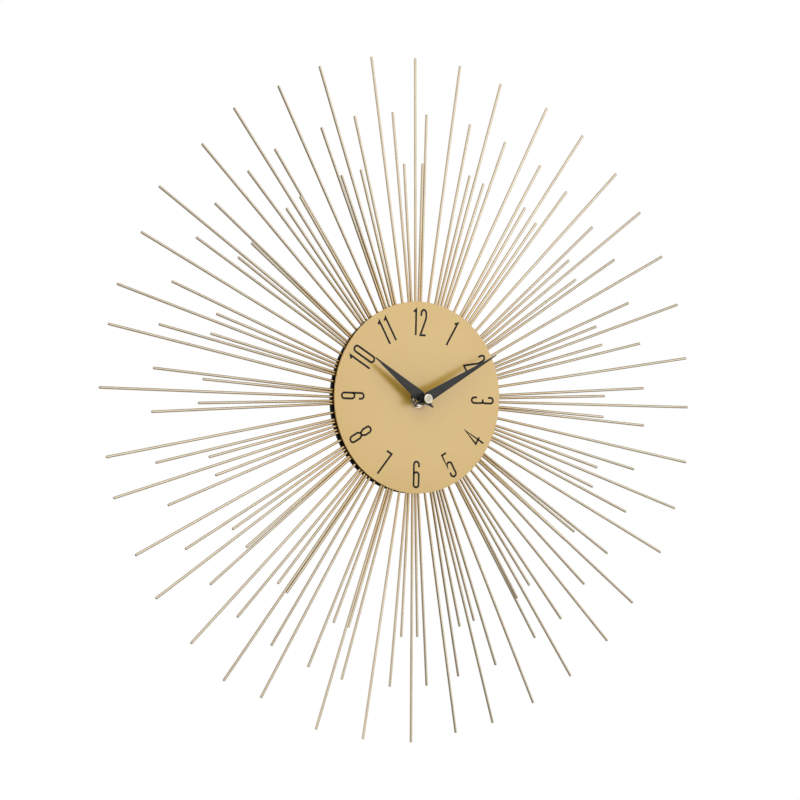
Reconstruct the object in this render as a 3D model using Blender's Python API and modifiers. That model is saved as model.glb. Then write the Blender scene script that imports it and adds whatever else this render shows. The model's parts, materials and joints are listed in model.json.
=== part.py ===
"""Sunburst wall clock: a gold dial on a black hub, 120 rays in 20 fans, two hands, and a quartz movement.

Everything is modelled as the clock lies on its back: x to the right, y towards 12 o'clock, z off the wall
towards the viewer. The empty clock_frame then stands it up, so that it hangs on the wall plane y = 0 and
faces -Y, with 12 o'clock towards +Z. Sizes below are in millimetres.
"""

import math
import random

import bmesh
import bpy
from mathutils import Matrix, Vector

MM = 0.001

# Heights off the wall of the layers of the clock
CASE_DEPTH = 16.0
DIAL_FRONT = 25.7
DIAL_THICK = 1.0
HUB_DEPTH = 7.0
BUSHING_TOP = 30.7
HOUR_HAND_Z = 33.4
MINUTE_HAND_Z = 36.0
CAP_TOP = 41.1
LAYER_GAP = 0.3

# Dial and hub, which sit a little off the shaft, as a hand-built one does
DIAL_RADIUS = 71.0
DIAL_SHIFT = (0.0, 1.0)
DIAL_HOLE_RADIUS = 5.2
HUB_RADIUS = 69.5
HUB_BOSS_RADIUS = 49.5
HUB_HOLE_RADIUS = 7.0
HUB_SHIFT = (-2.0, -0.5)

# Rays: angle from their fan's own axis, radius of the tip and how far the tip lies behind the dial's front
FANS = 20
FAN_PITCH_DEG = 360.0 / FANS
ROD_RADIUS = 1.0
ROD_ROOT_RADIUS = 52.5
ROD_RIM_DROP = 3.3
RAYS = {
    "medium_left": (-4.2, 212.5, 11.0),
    "short_left": (-2.4, 175.0, 7.7),
    "long": (0.0, 254.0, 11.2),
    "short_right": (2.4, 175.0, 7.7),
    "medium_right": (4.2, 212.5, 11.0),
    "lone_long": (9.0, 253.0, 7.5),
}
ROOT_STRIP = (52.0, 62.0)
ROOT_STRIP_Z = (21.3, 22.5)
ROOT_STRIP_DEG = (-6.9, 10.7)

# Handwork: small seeded errors of every ray, and the fans and rays that are visibly bent, in degrees
HAND_SEED = 7
TIP_ERROR_DEG = 0.3
LENGTH_ERROR = 1.2
FAN_LEAN_DEG = {0: -0.7, 10: -1.3, 16: -0.9, 18: -0.6}
BENT_RAYS_DEG = {
    (0, "long"): 1.0, (0, "medium_right"): -0.9, (6, "lone_long"): -1.4, (7, "short_right"): -1.5,
    (8, "medium_right"): -1.3, (9, "lone_long"): -1.8, (10, "long"): -0.8, (11, "long"): -1.3,
    (11, "lone_long"): 1.3, (12, "short_left"): 1.5, (14, "lone_long"): -1.8, (15, "lone_long"): 1.5,
    (17, "long"): -0.9, (18, "medium_right"): -0.6,
}

# Hanging keyhole: centre of its round hole, that hole's radius, half the slot's width and the slot's rise
KEYHOLE = ((0.0, 36.5), 4.5, 2.2, 5.5)

# Clamp stack
BUSHING_RADIUS = 4.0
NUT_FLATS = 11.0
NUT_THICK = 2.6

# Hands: (length to the tip, tail, where it is widest, half width, hub hole radius)
HAND_THICK = 0.5
MINUTE_HAND = (70.0, 9.2, 3.0, 3.9, 1.55)
HOUR_HAND = (51.0, 10.5, 4.0, 4.2, 2.55)
MINUTE_COLLET = (1.8, 2.9, 34.5)  # bore radius, outer radius, lower end
HOUR_COLLET = (2.55, 3.5, 31.2)
MINUTE_DEG = 60.8
HOUR_DEG = 300.0 + MINUTE_DEG / 12

# Movement case, 56 mm square, with the gear pocket above and the battery bay below
CASE_HALF = 28.0
CASE_WALL = 1.2
POCKET_TOP = 26.8
POCKET_BOTTOM = -9.4
BAY_TOP = -10.6
BAY_FLOOR_Z = 15.0
CELL_RADIUS = 7.1
CELL_AXIS = (-18.7, 7.5)
POST_RADIUS = 1.6
POST_SPOTS = ((-22.0, -6.0), (-22.0, 17.0), (22.0, -6.0), (22.0, 17.0))

# Gears: (teeth, module); each pair on one line below is in mesh
MOTION_MODULE = 0.3
TRAIN_MODULE = 0.8 / 3
CANNON_TEETH, MOTION_TEETH = 10, 30
MOTION_PINION_TEETH, HOUR_TEETH = 8, 32
KNOB_TEETH = 10
CENTRE_TEETH, THIRD_PINION_TEETH = 45, 6
THIRD_TEETH, SECOND_PINION_TEETH = 48, 6
SECOND_TEETH, INTERMEDIATE_PINION_TEETH = 36, 6
INTERMEDIATE_TEETH, ROTOR_TEETH = 30, 6
ARBOR_RADIUS = 0.4
BEARING_RADIUS = 0.47
ARBOR_Z = (0.7, 9.9)
PLATE_Z = (9.3, 10.3)

SMALL_STEPS = 16
ROUND_STEPS = 24
DISC_STEPS = 72
SHARP_EDGE_DEG = 35.0

COLOURS = {
    "gold": ((0.68, 0.51, 0.24), 0.9, 0.35),
    "black_hub": ((0.012, 0.012, 0.013), 0.0, 0.5),
    "hand_black": ((0.045, 0.045, 0.05), 0.0, 0.4),
    "chrome": ((0.75, 0.75, 0.76), 1.0, 0.12),
    "silver_cap": ((0.8, 0.79, 0.76), 0.6, 0.3),
    "brass": ((0.72, 0.52, 0.22), 1.0, 0.3),
    "steel": ((0.5, 0.5, 0.52), 1.0, 0.35),
    "rubber": ((0.02, 0.02, 0.02), 0.0, 0.8),
    "case_black": ((0.02, 0.02, 0.022), 0.0, 0.45),
    "gear_white": ((0.8, 0.8, 0.77), 0.0, 0.45),
    "gear_grey": ((0.35, 0.36, 0.38), 0.0, 0.45),
    "magnet": ((0.12, 0.12, 0.13), 0.8, 0.4),
    "copper": ((0.7, 0.29, 0.12), 1.0, 0.3),
    "board_green": ((0.05, 0.22, 0.09), 0.0, 0.5),
    "epoxy": ((0.015, 0.015, 0.015), 0.0, 0.3),
    "cell_jacket": ((0.09, 0.11, 0.15), 0.1, 0.35),
}


def clear_scene():
    for obj in list(bpy.data.objects):
        bpy.data.objects.remove(obj, do_unlink=True)


clear_scene()
PARTS = bpy.data.collections.new("sunburst_wall_clock")
CUTTERS = bpy.data.collections.new("cutters")
bpy.context.scene.collection.children.link(PARTS)
bpy.context.scene.collection.children.link(CUTTERS)
CUTTERS.hide_render = True
FRAME = bpy.data.objects.new("clock_frame", None)
FRAME.rotation_euler = (math.pi / 2, 0, 0)
PARTS.objects.link(FRAME)


def material(name):
    found = bpy.data.materials.get(name)
    if found:
        return found
    colour, metallic, roughness = COLOURS[name]
    made = bpy.data.materials.new(name)
    made.use_nodes = True
    shader = made.node_tree.nodes["Principled BSDF"]
    shader.inputs["Base Color"].default_value = (*colour, 1.0)
    shader.inputs["Metallic"].default_value = metallic
    shader.inputs["Roughness"].default_value = roughness
    return made


def add_part(name, mesh, finish, at=(0, 0), turn_deg=0.0):
    """An object in the clock's frame, with its origin at (x, y) on the plane z = 0."""
    obj = bpy.data.objects.new(name, mesh)
    PARTS.objects.link(obj)
    obj.parent = FRAME
    obj.location = (at[0] * MM, at[1] * MM, 0)
    obj.rotation_euler = (0, 0, math.radians(-turn_deg))
    obj.data.materials.clear()
    obj.data.materials.append(material(finish))
    return obj


def to_cutters(obj):
    PARTS.objects.unlink(obj)
    CUTTERS.objects.link(obj)
    obj.hide_render = True
    obj.display_type = "WIRE"
    return obj


def boolean(obj, other, operation, self_overlap=False):
    modifier = obj.modifiers.new(f"{operation.lower()}_{other.name}", "BOOLEAN")
    modifier.operation = operation
    modifier.object = to_cutters(other)
    modifier.use_self = self_overlap
    return obj


def turned(name, profile, finish, at=(0, 0), steps=ROUND_STEPS, closed=True):
    """A turned piece about the line through (x, y). The profile of (radius, z) runs down its outer side."""
    mesh = bpy.data.meshes.new(name)
    points = [(r * MM, 0, z * MM) for r, z in profile]
    edges = [(i, i + 1) for i in range(len(points) - 1)]
    if closed:
        edges.append((len(points) - 1, 0))
    mesh.from_pydata(points, edges, [])
    obj = add_part(name, mesh, finish, at)
    screw = obj.modifiers.new("turn", "SCREW")
    screw.steps = steps
    screw.render_steps = steps
    screw.use_merge_vertices = True
    screw.merge_threshold = 0.00001
    screw.use_smooth_shade = True
    return obj


def ring(name, inner, outer, low, high, finish, at=(0, 0), steps=ROUND_STEPS):
    return turned(name, [(outer, high), (outer, low), (inner, low), (inner, high)], finish, at, steps)


def rod(name, radius, low, high, finish="steel", at=(0, 0), steps=12):
    return turned(name, [(0, high), (radius, high), (radius, low), (0, low)], finish, at, steps, False)


def plate(name, outlines, low, high, finish, at=(0, 0), turn_deg=0.0):
    """A flat piece between two heights. The first outline is its edge, and any others are holes."""
    curve = bpy.data.curves.new(name, "CURVE")
    curve.dimensions = "2D"
    curve.fill_mode = "BOTH"
    curve.extrude = (high - low) / 2 * MM
    for outline in outlines:
        spline = curve.splines.new("POLY")
        spline.points.add(len(outline) - 1)
        for point, (x, y) in zip(spline.points, outline):
            point.co = (x * MM, y * MM, 0, 1)
        spline.use_cyclic_u = True
    flat = bpy.data.objects.new(name + "_outline", curve)
    PARTS.objects.link(flat)
    bpy.context.view_layer.update()
    graph = bpy.context.evaluated_depsgraph_get()
    mesh = bpy.data.meshes.new_from_object(flat.evaluated_get(graph))
    bpy.data.objects.remove(flat, do_unlink=True)
    work = bmesh.new()
    work.from_mesh(mesh)
    bmesh.ops.remove_doubles(work, verts=work.verts, dist=1e-7)
    bmesh.ops.translate(work, verts=work.verts, vec=(0, 0, (low + high) / 2 * MM))
    bmesh.ops.recalc_face_normals(work, faces=work.faces)
    work.to_mesh(mesh)
    work.free()
    return add_part(name, mesh, finish, at, turn_deg)


def block(name, low, high, finish):
    work = bmesh.new()
    bmesh.ops.create_cube(work, size=1.0)
    size = [(b - a) * MM for a, b in zip(low, high)]
    middle = [(a + b) / 2 * MM for a, b in zip(low, high)]
    bmesh.ops.scale(work, vec=size, verts=work.verts)
    bmesh.ops.translate(work, vec=middle, verts=work.verts)
    mesh = bpy.data.meshes.new(name)
    work.to_mesh(mesh)
    work.free()
    return add_part(name, mesh, finish)


def circle(radius, at=(0, 0), steps=ROUND_STEPS):
    turns = [2 * math.pi * i / steps for i in range(steps)]
    return [(at[0] + radius * math.cos(a), at[1] + radius * math.sin(a)) for a in turns]


def rounded_box(x0, x1, y0, y1, corner, steps=4):
    points = []
    for x, y, start in ((x1, y1, 0), (x0, y1, 90), (x0, y0, 180), (x1, y0, 270)):
        cx = x - math.copysign(corner, x - (x0 + x1) / 2)
        cy = y - math.copysign(corner, y - (y0 + y1) / 2)
        for i in range(steps + 1):
            a = math.radians(start + 90 * i / steps)
            points.append((cx + corner * math.cos(a), cy + corner * math.sin(a)))
    return points


def bearing(piece, spots, low, high):
    """Cuts a running hole for an arbor at each spot."""
    for number, spot in enumerate(spots):
        bore = rod(f"{piece.name}_bore_{number}", BEARING_RADIUS, low, high, at=spot, steps=SMALL_STEPS)
        boolean(piece, bore, "DIFFERENCE")
    return piece


# ---- gear teeth and where the wheels stand ----


def pitch_radius(teeth, module):
    return teeth * module / 2


def spaced(teeth_a, teeth_b, module):
    return (teeth_a + teeth_b) * module / 2


def step_from(at, distance, degrees):
    a = math.radians(degrees)
    return (at[0] + distance * math.cos(a), at[1] + distance * math.sin(a))


def gear_outline(teeth, module, first_deg):
    """Trapezoid teeth with running backlash. The first tooth's middle points to first_deg."""
    radius = pitch_radius(teeth, module)
    root = radius - 1.2 * module
    tip = radius + 0.85 * module
    step = 2 * math.pi / teeth
    points = []
    for i in range(teeth):
        middle = math.radians(first_deg) + i * step
        for r, share in ((root, -0.30), (tip, -0.10), (tip, 0.10), (root, 0.30)):
            a = middle + share * step
            points.append((r * math.cos(a), r * math.sin(a)))
    return points


def meeting_gap(teeth, degrees):
    """The first tooth's angle for a pinion whose gap faces the given direction."""
    return degrees + 180.0 / teeth


CENTRE = (0.0, 0.0)
MOTION_DEG, KNOB_DEG = 0.0, 0.0
THIRD_DEG, SECOND_DEG, INTERMEDIATE_DEG, ROTOR_DEG = 120.0, 120.0, 45.0, 0.0
MOTION_AT = step_from(CENTRE, spaced(CANNON_TEETH, MOTION_TEETH, MOTION_MODULE), MOTION_DEG)
KNOB_AT = step_from(MOTION_AT, spaced(MOTION_TEETH, KNOB_TEETH, MOTION_MODULE), KNOB_DEG)
THIRD_AT = step_from(CENTRE, spaced(CENTRE_TEETH, THIRD_PINION_TEETH, TRAIN_MODULE), THIRD_DEG)
SECOND_AT = step_from(THIRD_AT, spaced(THIRD_TEETH, SECOND_PINION_TEETH, TRAIN_MODULE), SECOND_DEG)
INTERMEDIATE_AT = step_from(
    SECOND_AT, spaced(SECOND_TEETH, INTERMEDIATE_PINION_TEETH, TRAIN_MODULE), INTERMEDIATE_DEG
)
ROTOR_AT = step_from(INTERMEDIATE_AT, spaced(INTERMEDIATE_TEETH, ROTOR_TEETH, TRAIN_MODULE), ROTOR_DEG)


def wheel_and_pinion(name, at, wheel, pinion, finish, arbor=ARBOR_Z, arbor_radius=ARBOR_RADIUS):
    """One moulding: wheel, pinion and arbor. Each gear is (teeth, module, first_deg, low, high)."""
    teeth, module, first, low, high = wheel
    body = plate(name, [gear_outline(teeth, module, first)], low, high, finish, at)
    teeth, module, first, low, high = pinion
    leaves = plate(name + "_leaves", [gear_outline(teeth, module, first)], low, high, finish, at)
    boolean(body, leaves, "UNION")
    return boolean(body, rod(name + "_arbor", arbor_radius, *arbor, at=at), "UNION")


# ---- dial, hub and rays ----


def dial_plate():
    low = DIAL_FRONT - DIAL_THICK
    edge = 0.12
    ring_profile = [
        (DIAL_RADIUS - edge, DIAL_FRONT),
        (DIAL_RADIUS, DIAL_FRONT - edge),
        (DIAL_RADIUS, low),
        (DIAL_HOLE_RADIUS, low),
        (DIAL_HOLE_RADIUS, DIAL_FRONT),
    ]
    return turned("dial_plate", ring_profile, "gold", DIAL_SHIFT, DISC_STEPS)


def backing_disc():
    """The moulded hub: a raised boss that carries the dial, and a lower rim where the fans' roots lie."""
    back = DIAL_FRONT - HUB_DEPTH
    rim = ROOT_STRIP_Z[0] - LAYER_GAP
    boss = DIAL_FRONT - DIAL_THICK - LAYER_GAP
    edge = 0.4
    profile = [
        (HUB_BOSS_RADIUS, boss),
        (HUB_BOSS_RADIUS, rim),
        (HUB_RADIUS, rim),
        (HUB_RADIUS, back + edge),
        (HUB_RADIUS - edge, back),
        (HUB_HOLE_RADIUS, back),
        (HUB_HOLE_RADIUS, boss),
    ]
    return turned("backing_disc", profile, "black_hub", HUB_SHIFT, DISC_STEPS)


def polar(radius, clock_deg, height):
    """A point about the hub's middle, at a clock angle from 12 going clockwise."""
    a = math.radians(clock_deg)
    return Vector((radius * math.sin(a), radius * math.cos(a), height)) * MM


def ray_ends(fan, kind, tip_error, length_error):
    offset, tip_radius, tip_drop = RAYS[kind]
    root_deg = fan * FAN_PITCH_DEG + offset
    tip_deg = root_deg + FAN_LEAN_DEG.get(fan, 0.0) + BENT_RAYS_DEG.get((fan, kind), 0.0) + tip_error
    slope = (tip_drop - ROD_RIM_DROP) / (tip_radius - DIAL_RADIUS)
    root_drop = ROD_RIM_DROP - slope * (DIAL_RADIUS - ROD_ROOT_RADIUS)
    root = polar(ROD_ROOT_RADIUS, root_deg, DIAL_FRONT - root_drop)
    tip = polar(tip_radius + length_error, tip_deg, DIAL_FRONT - tip_drop)
    return root, tip


def strip_outline(fan):
    inner, outer = ROOT_STRIP
    turns = [fan * FAN_PITCH_DEG + a for a in (ROOT_STRIP_DEG[0], 0.0, 5.0, ROOT_STRIP_DEG[1])]
    arc = [(polar(outer, a, 0) / MM)[:2] for a in turns]
    return arc + [(polar(inner, a, 0) / MM)[:2] for a in reversed(turns)]


def ray_fan(fan, hand):
    """Five rods of a fan and the lone long one beside it, brazed to a steel strip."""
    name = f"ray_fan_{fan + 1:02d}"
    strip = plate(name, [strip_outline(fan)], *ROOT_STRIP_Z, "gold", HUB_SHIFT)
    work = bmesh.new()
    for kind in RAYS:
        root, tip = ray_ends(fan, kind, hand.gauss(0, TIP_ERROR_DEG), hand.gauss(0, LENGTH_ERROR))
        along = tip - root
        stand = Matrix.Translation((root + tip) / 2) @ along.to_track_quat("Z", "Y").to_matrix().to_4x4()
        bmesh.ops.create_cone(
            work, cap_ends=True, segments=6, radius1=ROD_RADIUS * MM, radius2=ROD_RADIUS * MM,
            depth=along.length, matrix=stand,
        )
    mesh = bpy.data.meshes.new(name + "_rods")
    work.to_mesh(mesh)
    work.free()
    return boolean(strip, add_part(name + "_rods", mesh, "gold", HUB_SHIFT), "UNION", self_overlap=True)


def rays():
    hand = random.Random(HAND_SEED)
    for fan in range(FANS):
        ray_fan(fan, hand)


# ---- clamp stack on the shaft ----


def clamp_stack():
    """The movement's bushing, which clamps hub and dial between a rubber washer and the front nut."""
    washer_low = DIAL_FRONT + 0.1
    ring("front_washer", 4.2, 6.6, washer_low, washer_low + 0.5, "chrome")
    nut_low = washer_low + 0.6
    corner = NUT_FLATS / 2 / math.cos(math.pi / 6)
    outline = [circle(corner, steps=6), circle(BUSHING_RADIUS + 0.08)]
    plate("fixing_nut", outline, nut_low, nut_low + NUT_THICK, "chrome", turn_deg=12)
    ring("rubber_washer", 5.0, 12.0, 17.6, 18.4, "rubber")
    bore, flange, flange_low, flange_high, edge = 2.55, 6.0, 13.5, 14.6, 0.3
    profile = [
        (BUSHING_RADIUS, BUSHING_TOP - edge), (BUSHING_RADIUS, flange_high), (flange, flange_high),
        (flange, flange_low), (bore, flange_low), (bore, BUSHING_TOP), (BUSHING_RADIUS - edge, BUSHING_TOP),
    ]
    turned("threaded_bushing", profile, "brass")


def hanger_bracket():
    """A cranked steel strip: on the case's front, back over its top, and up into a hanging tab."""
    strip, top, back = 1.0, 46.0, 0.4
    front = CASE_DEPTH + LAYER_GAP
    bend = CASE_HALF + 0.6
    side = [
        (-12.0, front), (-12.0, front + strip), (bend + strip, front + strip), (bend + strip, back + strip),
        (top, back + strip), (top, back), (bend, back), (bend, front),
    ]
    half_width = 13.0
    bracket = plate("hanger_bracket", [side], -half_width, half_width, "steel")
    across = Matrix(((0, 0, 1, 0), (1, 0, 0, 0), (0, 1, 0, 0), (0, 0, 0, 1)))
    bracket.data.transform(across)
    shaft_hole = rod("shaft_hole", BUSHING_RADIUS + LAYER_GAP, front - 1, front + 2, steps=ROUND_STEPS)
    boolean(bracket, shaft_hole, "DIFFERENCE")
    keyhole = plate("keyhole", [keyhole_outline(*KEYHOLE)], back - 1, back + 2, "steel")
    return boolean(bracket, keyhole, "DIFFERENCE")


def arc(at, radius, start_deg, end_deg, steps):
    """Points of an arc about a centre, both ends included."""
    turns = [math.radians(start_deg + (end_deg - start_deg) * i / steps) for i in range(steps + 1)]
    return [(at[0] + radius * math.cos(a), at[1] + radius * math.sin(a)) for a in turns]


def keyhole_outline(at, radius, slot, rise):
    """A round hole with a narrower round-ended slot above it."""
    meet = math.degrees(math.acos(slot / radius))
    slot_end = arc((at[0], at[1] + rise), slot, 180.0, 0.0, 8)
    return arc(at, radius, meet, -180.0 - meet, 20) + slot_end


# ---- hands ----


def hand_outline(length, tail, widest, half, hole):
    edge = [(0, length), (half, widest), (0.35, -tail), (-0.35, -tail), (-half, widest)]
    return [edge, circle(hole)]


def hands():
    """Two tapered blades, each on a short collet that grips its shaft, and the cap nut in front."""
    for name, size, turn, height, collet in (
        ("minute_hand", MINUTE_HAND, MINUTE_DEG, MINUTE_HAND_Z, MINUTE_COLLET),
        ("hour_hand", HOUR_HAND, HOUR_DEG, HOUR_HAND_Z, HOUR_COLLET),
    ):
        low = height - HAND_THICK / 2
        hand = plate(name, hand_outline(*size), low, low + HAND_THICK, "hand_black", turn_deg=turn)
        boolean(hand, ring(name + "_collet", *collet, low + 0.1, "hand_black"), "UNION")
    base = MINUTE_HAND_Z + HAND_THICK / 2 + 0.1
    cap = [
        (0, CAP_TOP), (2.9, CAP_TOP), (3.4, CAP_TOP - 0.2), (3.6, CAP_TOP - 0.7), (3.6, base), (1.47, base),
        (1.47, CAP_TOP - 1.5), (0, CAP_TOP - 1.5),
    ]
    turned("hand_cap", cap, "silver_cap", closed=False)


# ---- movement: case, plates and power ----


def movement_case():
    case = plate("movement_case", [rounded_box(-CASE_HALF, CASE_HALF, -CASE_HALF, CASE_HALF, 3.0)], 0.0,
                 CASE_DEPTH, "case_black")
    pocket = CASE_HALF - CASE_WALL
    gears = block("gear_pocket", (-pocket, POCKET_BOTTOM, -1), (pocket, POCKET_TOP, CASE_DEPTH - CASE_WALL),
                  "case_black")
    bay = block("battery_bay", (-pocket, -pocket, -1), (pocket, BAY_TOP, BAY_FLOOR_Z), "case_black")
    boolean(case, gears, "DIFFERENCE")
    boolean(case, bay, "DIFFERENCE")
    for number, spot in enumerate(POST_SPOTS):
        post = rod(f"case_post_{number}", POST_RADIUS, PLATE_Z[1] + 0.1, CASE_DEPTH - 0.5, at=spot)
        boolean(case, post, "UNION")
    bushing_hole = 4.15
    cutter = rod("bushing_hole", bushing_hole, BAY_FLOOR_Z - 3, CASE_DEPTH + 2, steps=ROUND_STEPS)
    return boolean(case, cutter, "DIFFERENCE")


def rear_cover():
    margin, thick, knob_opening = 0.2, 1.2, 6.3
    pocket = CASE_HALF - CASE_WALL - margin
    outline = rounded_box(-pocket, pocket, POCKET_BOTTOM + margin, POCKET_TOP - margin, 1.0, 2)
    cover = plate("rear_cover", [outline, circle(knob_opening, KNOB_AT)], 0.0, thick, "case_black")
    return bearing(cover, (THIRD_AT, SECOND_AT, INTERMEDIATE_AT, ROTOR_AT), 0.5, 2.0)


def train_plate():
    outline = rounded_box(-25.0, 25.0, -8.5, 19.5, 2.0, 2)
    shaft_hole = 0.97
    holes = [circle(shaft_hole, CENTRE, SMALL_STEPS), circle(shaft_hole, KNOB_AT, SMALL_STEPS)]
    body = plate("train_plate", [outline, *holes], *PLATE_Z, "case_black")
    spots = (THIRD_AT, SECOND_AT, INTERMEDIATE_AT, ROTOR_AT, MOTION_AT)
    return bearing(body, spots, PLATE_Z[0] - 1, PLATE_Z[1] + 1)


def along_x(name, profile, start, finish, centre, closed=False, steps=ROUND_STEPS):
    """A turned piece along x. The profile of (radius, distance from start) runs from its far end."""
    obj = turned(name, profile, finish, steps=steps, closed=closed)
    obj.rotation_euler = (0, math.pi / 2, 0)
    obj.location = (start * MM, centre[0] * MM, centre[1] * MM)
    return obj


def battery():
    left, can, nub = -24.9, 49.2, 1.3
    crimp = 0.25
    profile = [
        (0, can + nub), (2.6, can + nub), (2.75, can + nub - 0.2), (2.75, can), (CELL_RADIUS - 0.8, can),
        (CELL_RADIUS - crimp, can - 0.3), (CELL_RADIUS - crimp, can - 1.2), (CELL_RADIUS, can - 1.4),
        (CELL_RADIUS, 0.4), (CELL_RADIUS - 0.4, 0), (0, 0),
    ]
    along_x("aa_battery", profile, left, "cell_jacket", CELL_AXIS, steps=32)
    y, z = CELL_AXIS
    tab = block("positive_contact", (26.1, y - 4.0, 1.5), (26.5, y + 4.0, z + 6.0), "brass")
    foot = block("contact_foot", (26.1, y - 1.5, z + 5.0), (26.5, y + 1.5, z + 7.2), "brass")
    boolean(tab, foot, "UNION")
    negative_spring(left, y, z)


def negative_spring(cell_left, y, z):
    """A flat cone of wire pressed between the bay's end and the battery."""
    turns, per_turn, wire = 2.6, 14, 0.22
    wide, narrow, rise = 4.6, 2.4, 0.75
    curve = bpy.data.curves.new("negative_spring", "CURVE")
    curve.dimensions = "3D"
    curve.bevel_depth = wire * MM
    curve.bevel_resolution = 2
    curve.use_fill_caps = True
    count = int(turns * per_turn) + 1
    spline = curve.splines.new("POLY")
    spline.points.add(count - 1)
    for i, point in enumerate(spline.points):
        share = i / (count - 1)
        a = 2 * math.pi * turns * share
        r = wide + (narrow - wide) * share
        x = cell_left - 0.3 - wire - rise * (1 - share)
        point.co = (x * MM, (y + r * math.cos(a)) * MM, (z + r * math.sin(a)) * MM, 1)
    obj = bpy.data.objects.new("negative_spring", curve)
    PARTS.objects.link(obj)
    obj.parent = FRAME
    curve.materials.append(material("steel"))
    return obj


# ---- movement: wheels ----


def motion_work():
    """The wheels between the two hands: cannon pinion, motion wheel, hour wheel and setting knob."""
    shaft_steps = 20
    stud = [
        (0, CAP_TOP - 1.8), (1.4, CAP_TOP - 1.8), (1.4, MINUTE_HAND_Z - 0.6), (1.7, MINUTE_HAND_Z - 0.6),
        (1.7, 11.85), (0.9, 11.85), (0.9, 7.35), (1.4, 7.35), (1.4, 7.1), (0, 7.1),
    ]
    shaft = turned("minute_shaft", stud, "steel", steps=shaft_steps, closed=False)
    cannon = gear_outline(CANNON_TEETH, MOTION_MODULE, meeting_gap(CANNON_TEETH, MOTION_DEG))
    boolean(shaft, plate("cannon_leaves", [cannon], 10.7, 11.9, "steel"), "UNION")

    low, tube_radius, bore_radius = 12.4, 2.5, 1.76
    hour_teeth = gear_outline(HOUR_TEETH, MOTION_MODULE, MOTION_DEG)
    hour = plate("hour_wheel", [hour_teeth], low, low + 0.8, "gear_white")
    boolean(hour, rod("hour_tube", tube_radius, low, HOUR_HAND_Z + 0.8, steps=shaft_steps), "UNION")
    bore = rod("hour_tube_bore", bore_radius, low - 1, HOUR_HAND_Z + 2, steps=shaft_steps)
    boolean(hour, bore, "DIFFERENCE")

    toward_centre = MOTION_DEG + 180
    wheel_and_pinion(
        "motion_wheel", MOTION_AT,
        (MOTION_TEETH, MOTION_MODULE, toward_centre, 10.9, 11.7),
        (MOTION_PINION_TEETH, MOTION_MODULE, meeting_gap(MOTION_PINION_TEETH, toward_centre), 11.6, 13.35),
        "gear_white", arbor=(9.1, 13.3),
    )
    knob()


def knob():
    """The knurled setting knob on its shaft, whose pinion turns the motion wheel."""
    knurls, crest, valley = 20, 5.5, 5.1
    rim = []
    for i in range(2 * knurls):
        r = valley if i % 2 else crest
        a = math.pi * i / knurls
        rim.append((r * math.cos(a), r * math.sin(a)))
    body = plate("time_set_knob", [rim], 0.3, 2.3, "case_black", KNOB_AT)
    boolean(body, rod("knob_shaft", 0.9, 2.0, 12.2, at=KNOB_AT, steps=SMALL_STEPS), "UNION")
    back = KNOB_DEG + 180
    # The motion wheel's tooth that faces the knob decides how the knob's pinion stands
    tooth_step = 360.0 / MOTION_TEETH
    lead = (KNOB_DEG - (MOTION_DEG + 180)) % tooth_step
    first = meeting_gap(KNOB_TEETH, back) + lead * MOTION_TEETH / KNOB_TEETH
    leaves = plate("knob_leaves", [gear_outline(KNOB_TEETH, MOTION_MODULE, first)], 10.7, 11.9, "case_black",
                   KNOB_AT)
    return boolean(body, leaves, "UNION")


def going_train():
    """From the rotor to the centre wheel: 5 x 6 x 8 x 7.5 = 1800 turns to one of the minute hand."""
    bore = 0.95
    rim = gear_outline(CENTRE_TEETH, TRAIN_MODULE, THIRD_DEG)
    centre = plate("centre_wheel", [rim, circle(bore, steps=SMALL_STEPS)], 7.9, 8.6, "gear_white")
    boolean(centre, ring("centre_hub", bore, 2.0, 7.45, 8.9, "gear_white", steps=SMALL_STEPS), "UNION")
    module = TRAIN_MODULE
    for name, at, teeth, finish, toward, wheel_z, pinion_teeth, back, pinion_z in (
        ("third_wheel", THIRD_AT, THIRD_TEETH, "gear_grey", SECOND_DEG, (6.3, 6.9),
         THIRD_PINION_TEETH, THIRD_DEG + 180, (6.8, 8.9)),
        ("second_wheel", SECOND_AT, SECOND_TEETH, "gear_white", INTERMEDIATE_DEG, (4.9, 5.5),
         SECOND_PINION_TEETH, SECOND_DEG + 180, (5.4, 7.2)),
        ("intermediate_wheel", INTERMEDIATE_AT, INTERMEDIATE_TEETH, "gear_grey", ROTOR_DEG, (3.6, 4.2),
         INTERMEDIATE_PINION_TEETH, INTERMEDIATE_DEG + 180, (4.1, 5.8)),
    ):
        wheel_and_pinion(
            name, at, (teeth, module, toward, *wheel_z),
            (pinion_teeth, module, meeting_gap(pinion_teeth, back), *pinion_z), finish,
        )
    rotor()


def rotor():
    back = ROTOR_DEG + 180
    leaves = gear_outline(ROTOR_TEETH, TRAIN_MODULE, meeting_gap(ROTOR_TEETH, back))
    pinion = plate("rotor_pinion", [leaves], 3.3, 4.5, "gear_white", ROTOR_AT)
    boolean(pinion, rod("rotor_arbor", ARBOR_RADIUS, *ARBOR_Z, at=ROTOR_AT), "UNION")
    ring("rotor_magnet", 0.6, 2.6, 6.4, 8.6, "magnet", ROTOR_AT)


# ---- movement: motor and electronics ----


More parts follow.
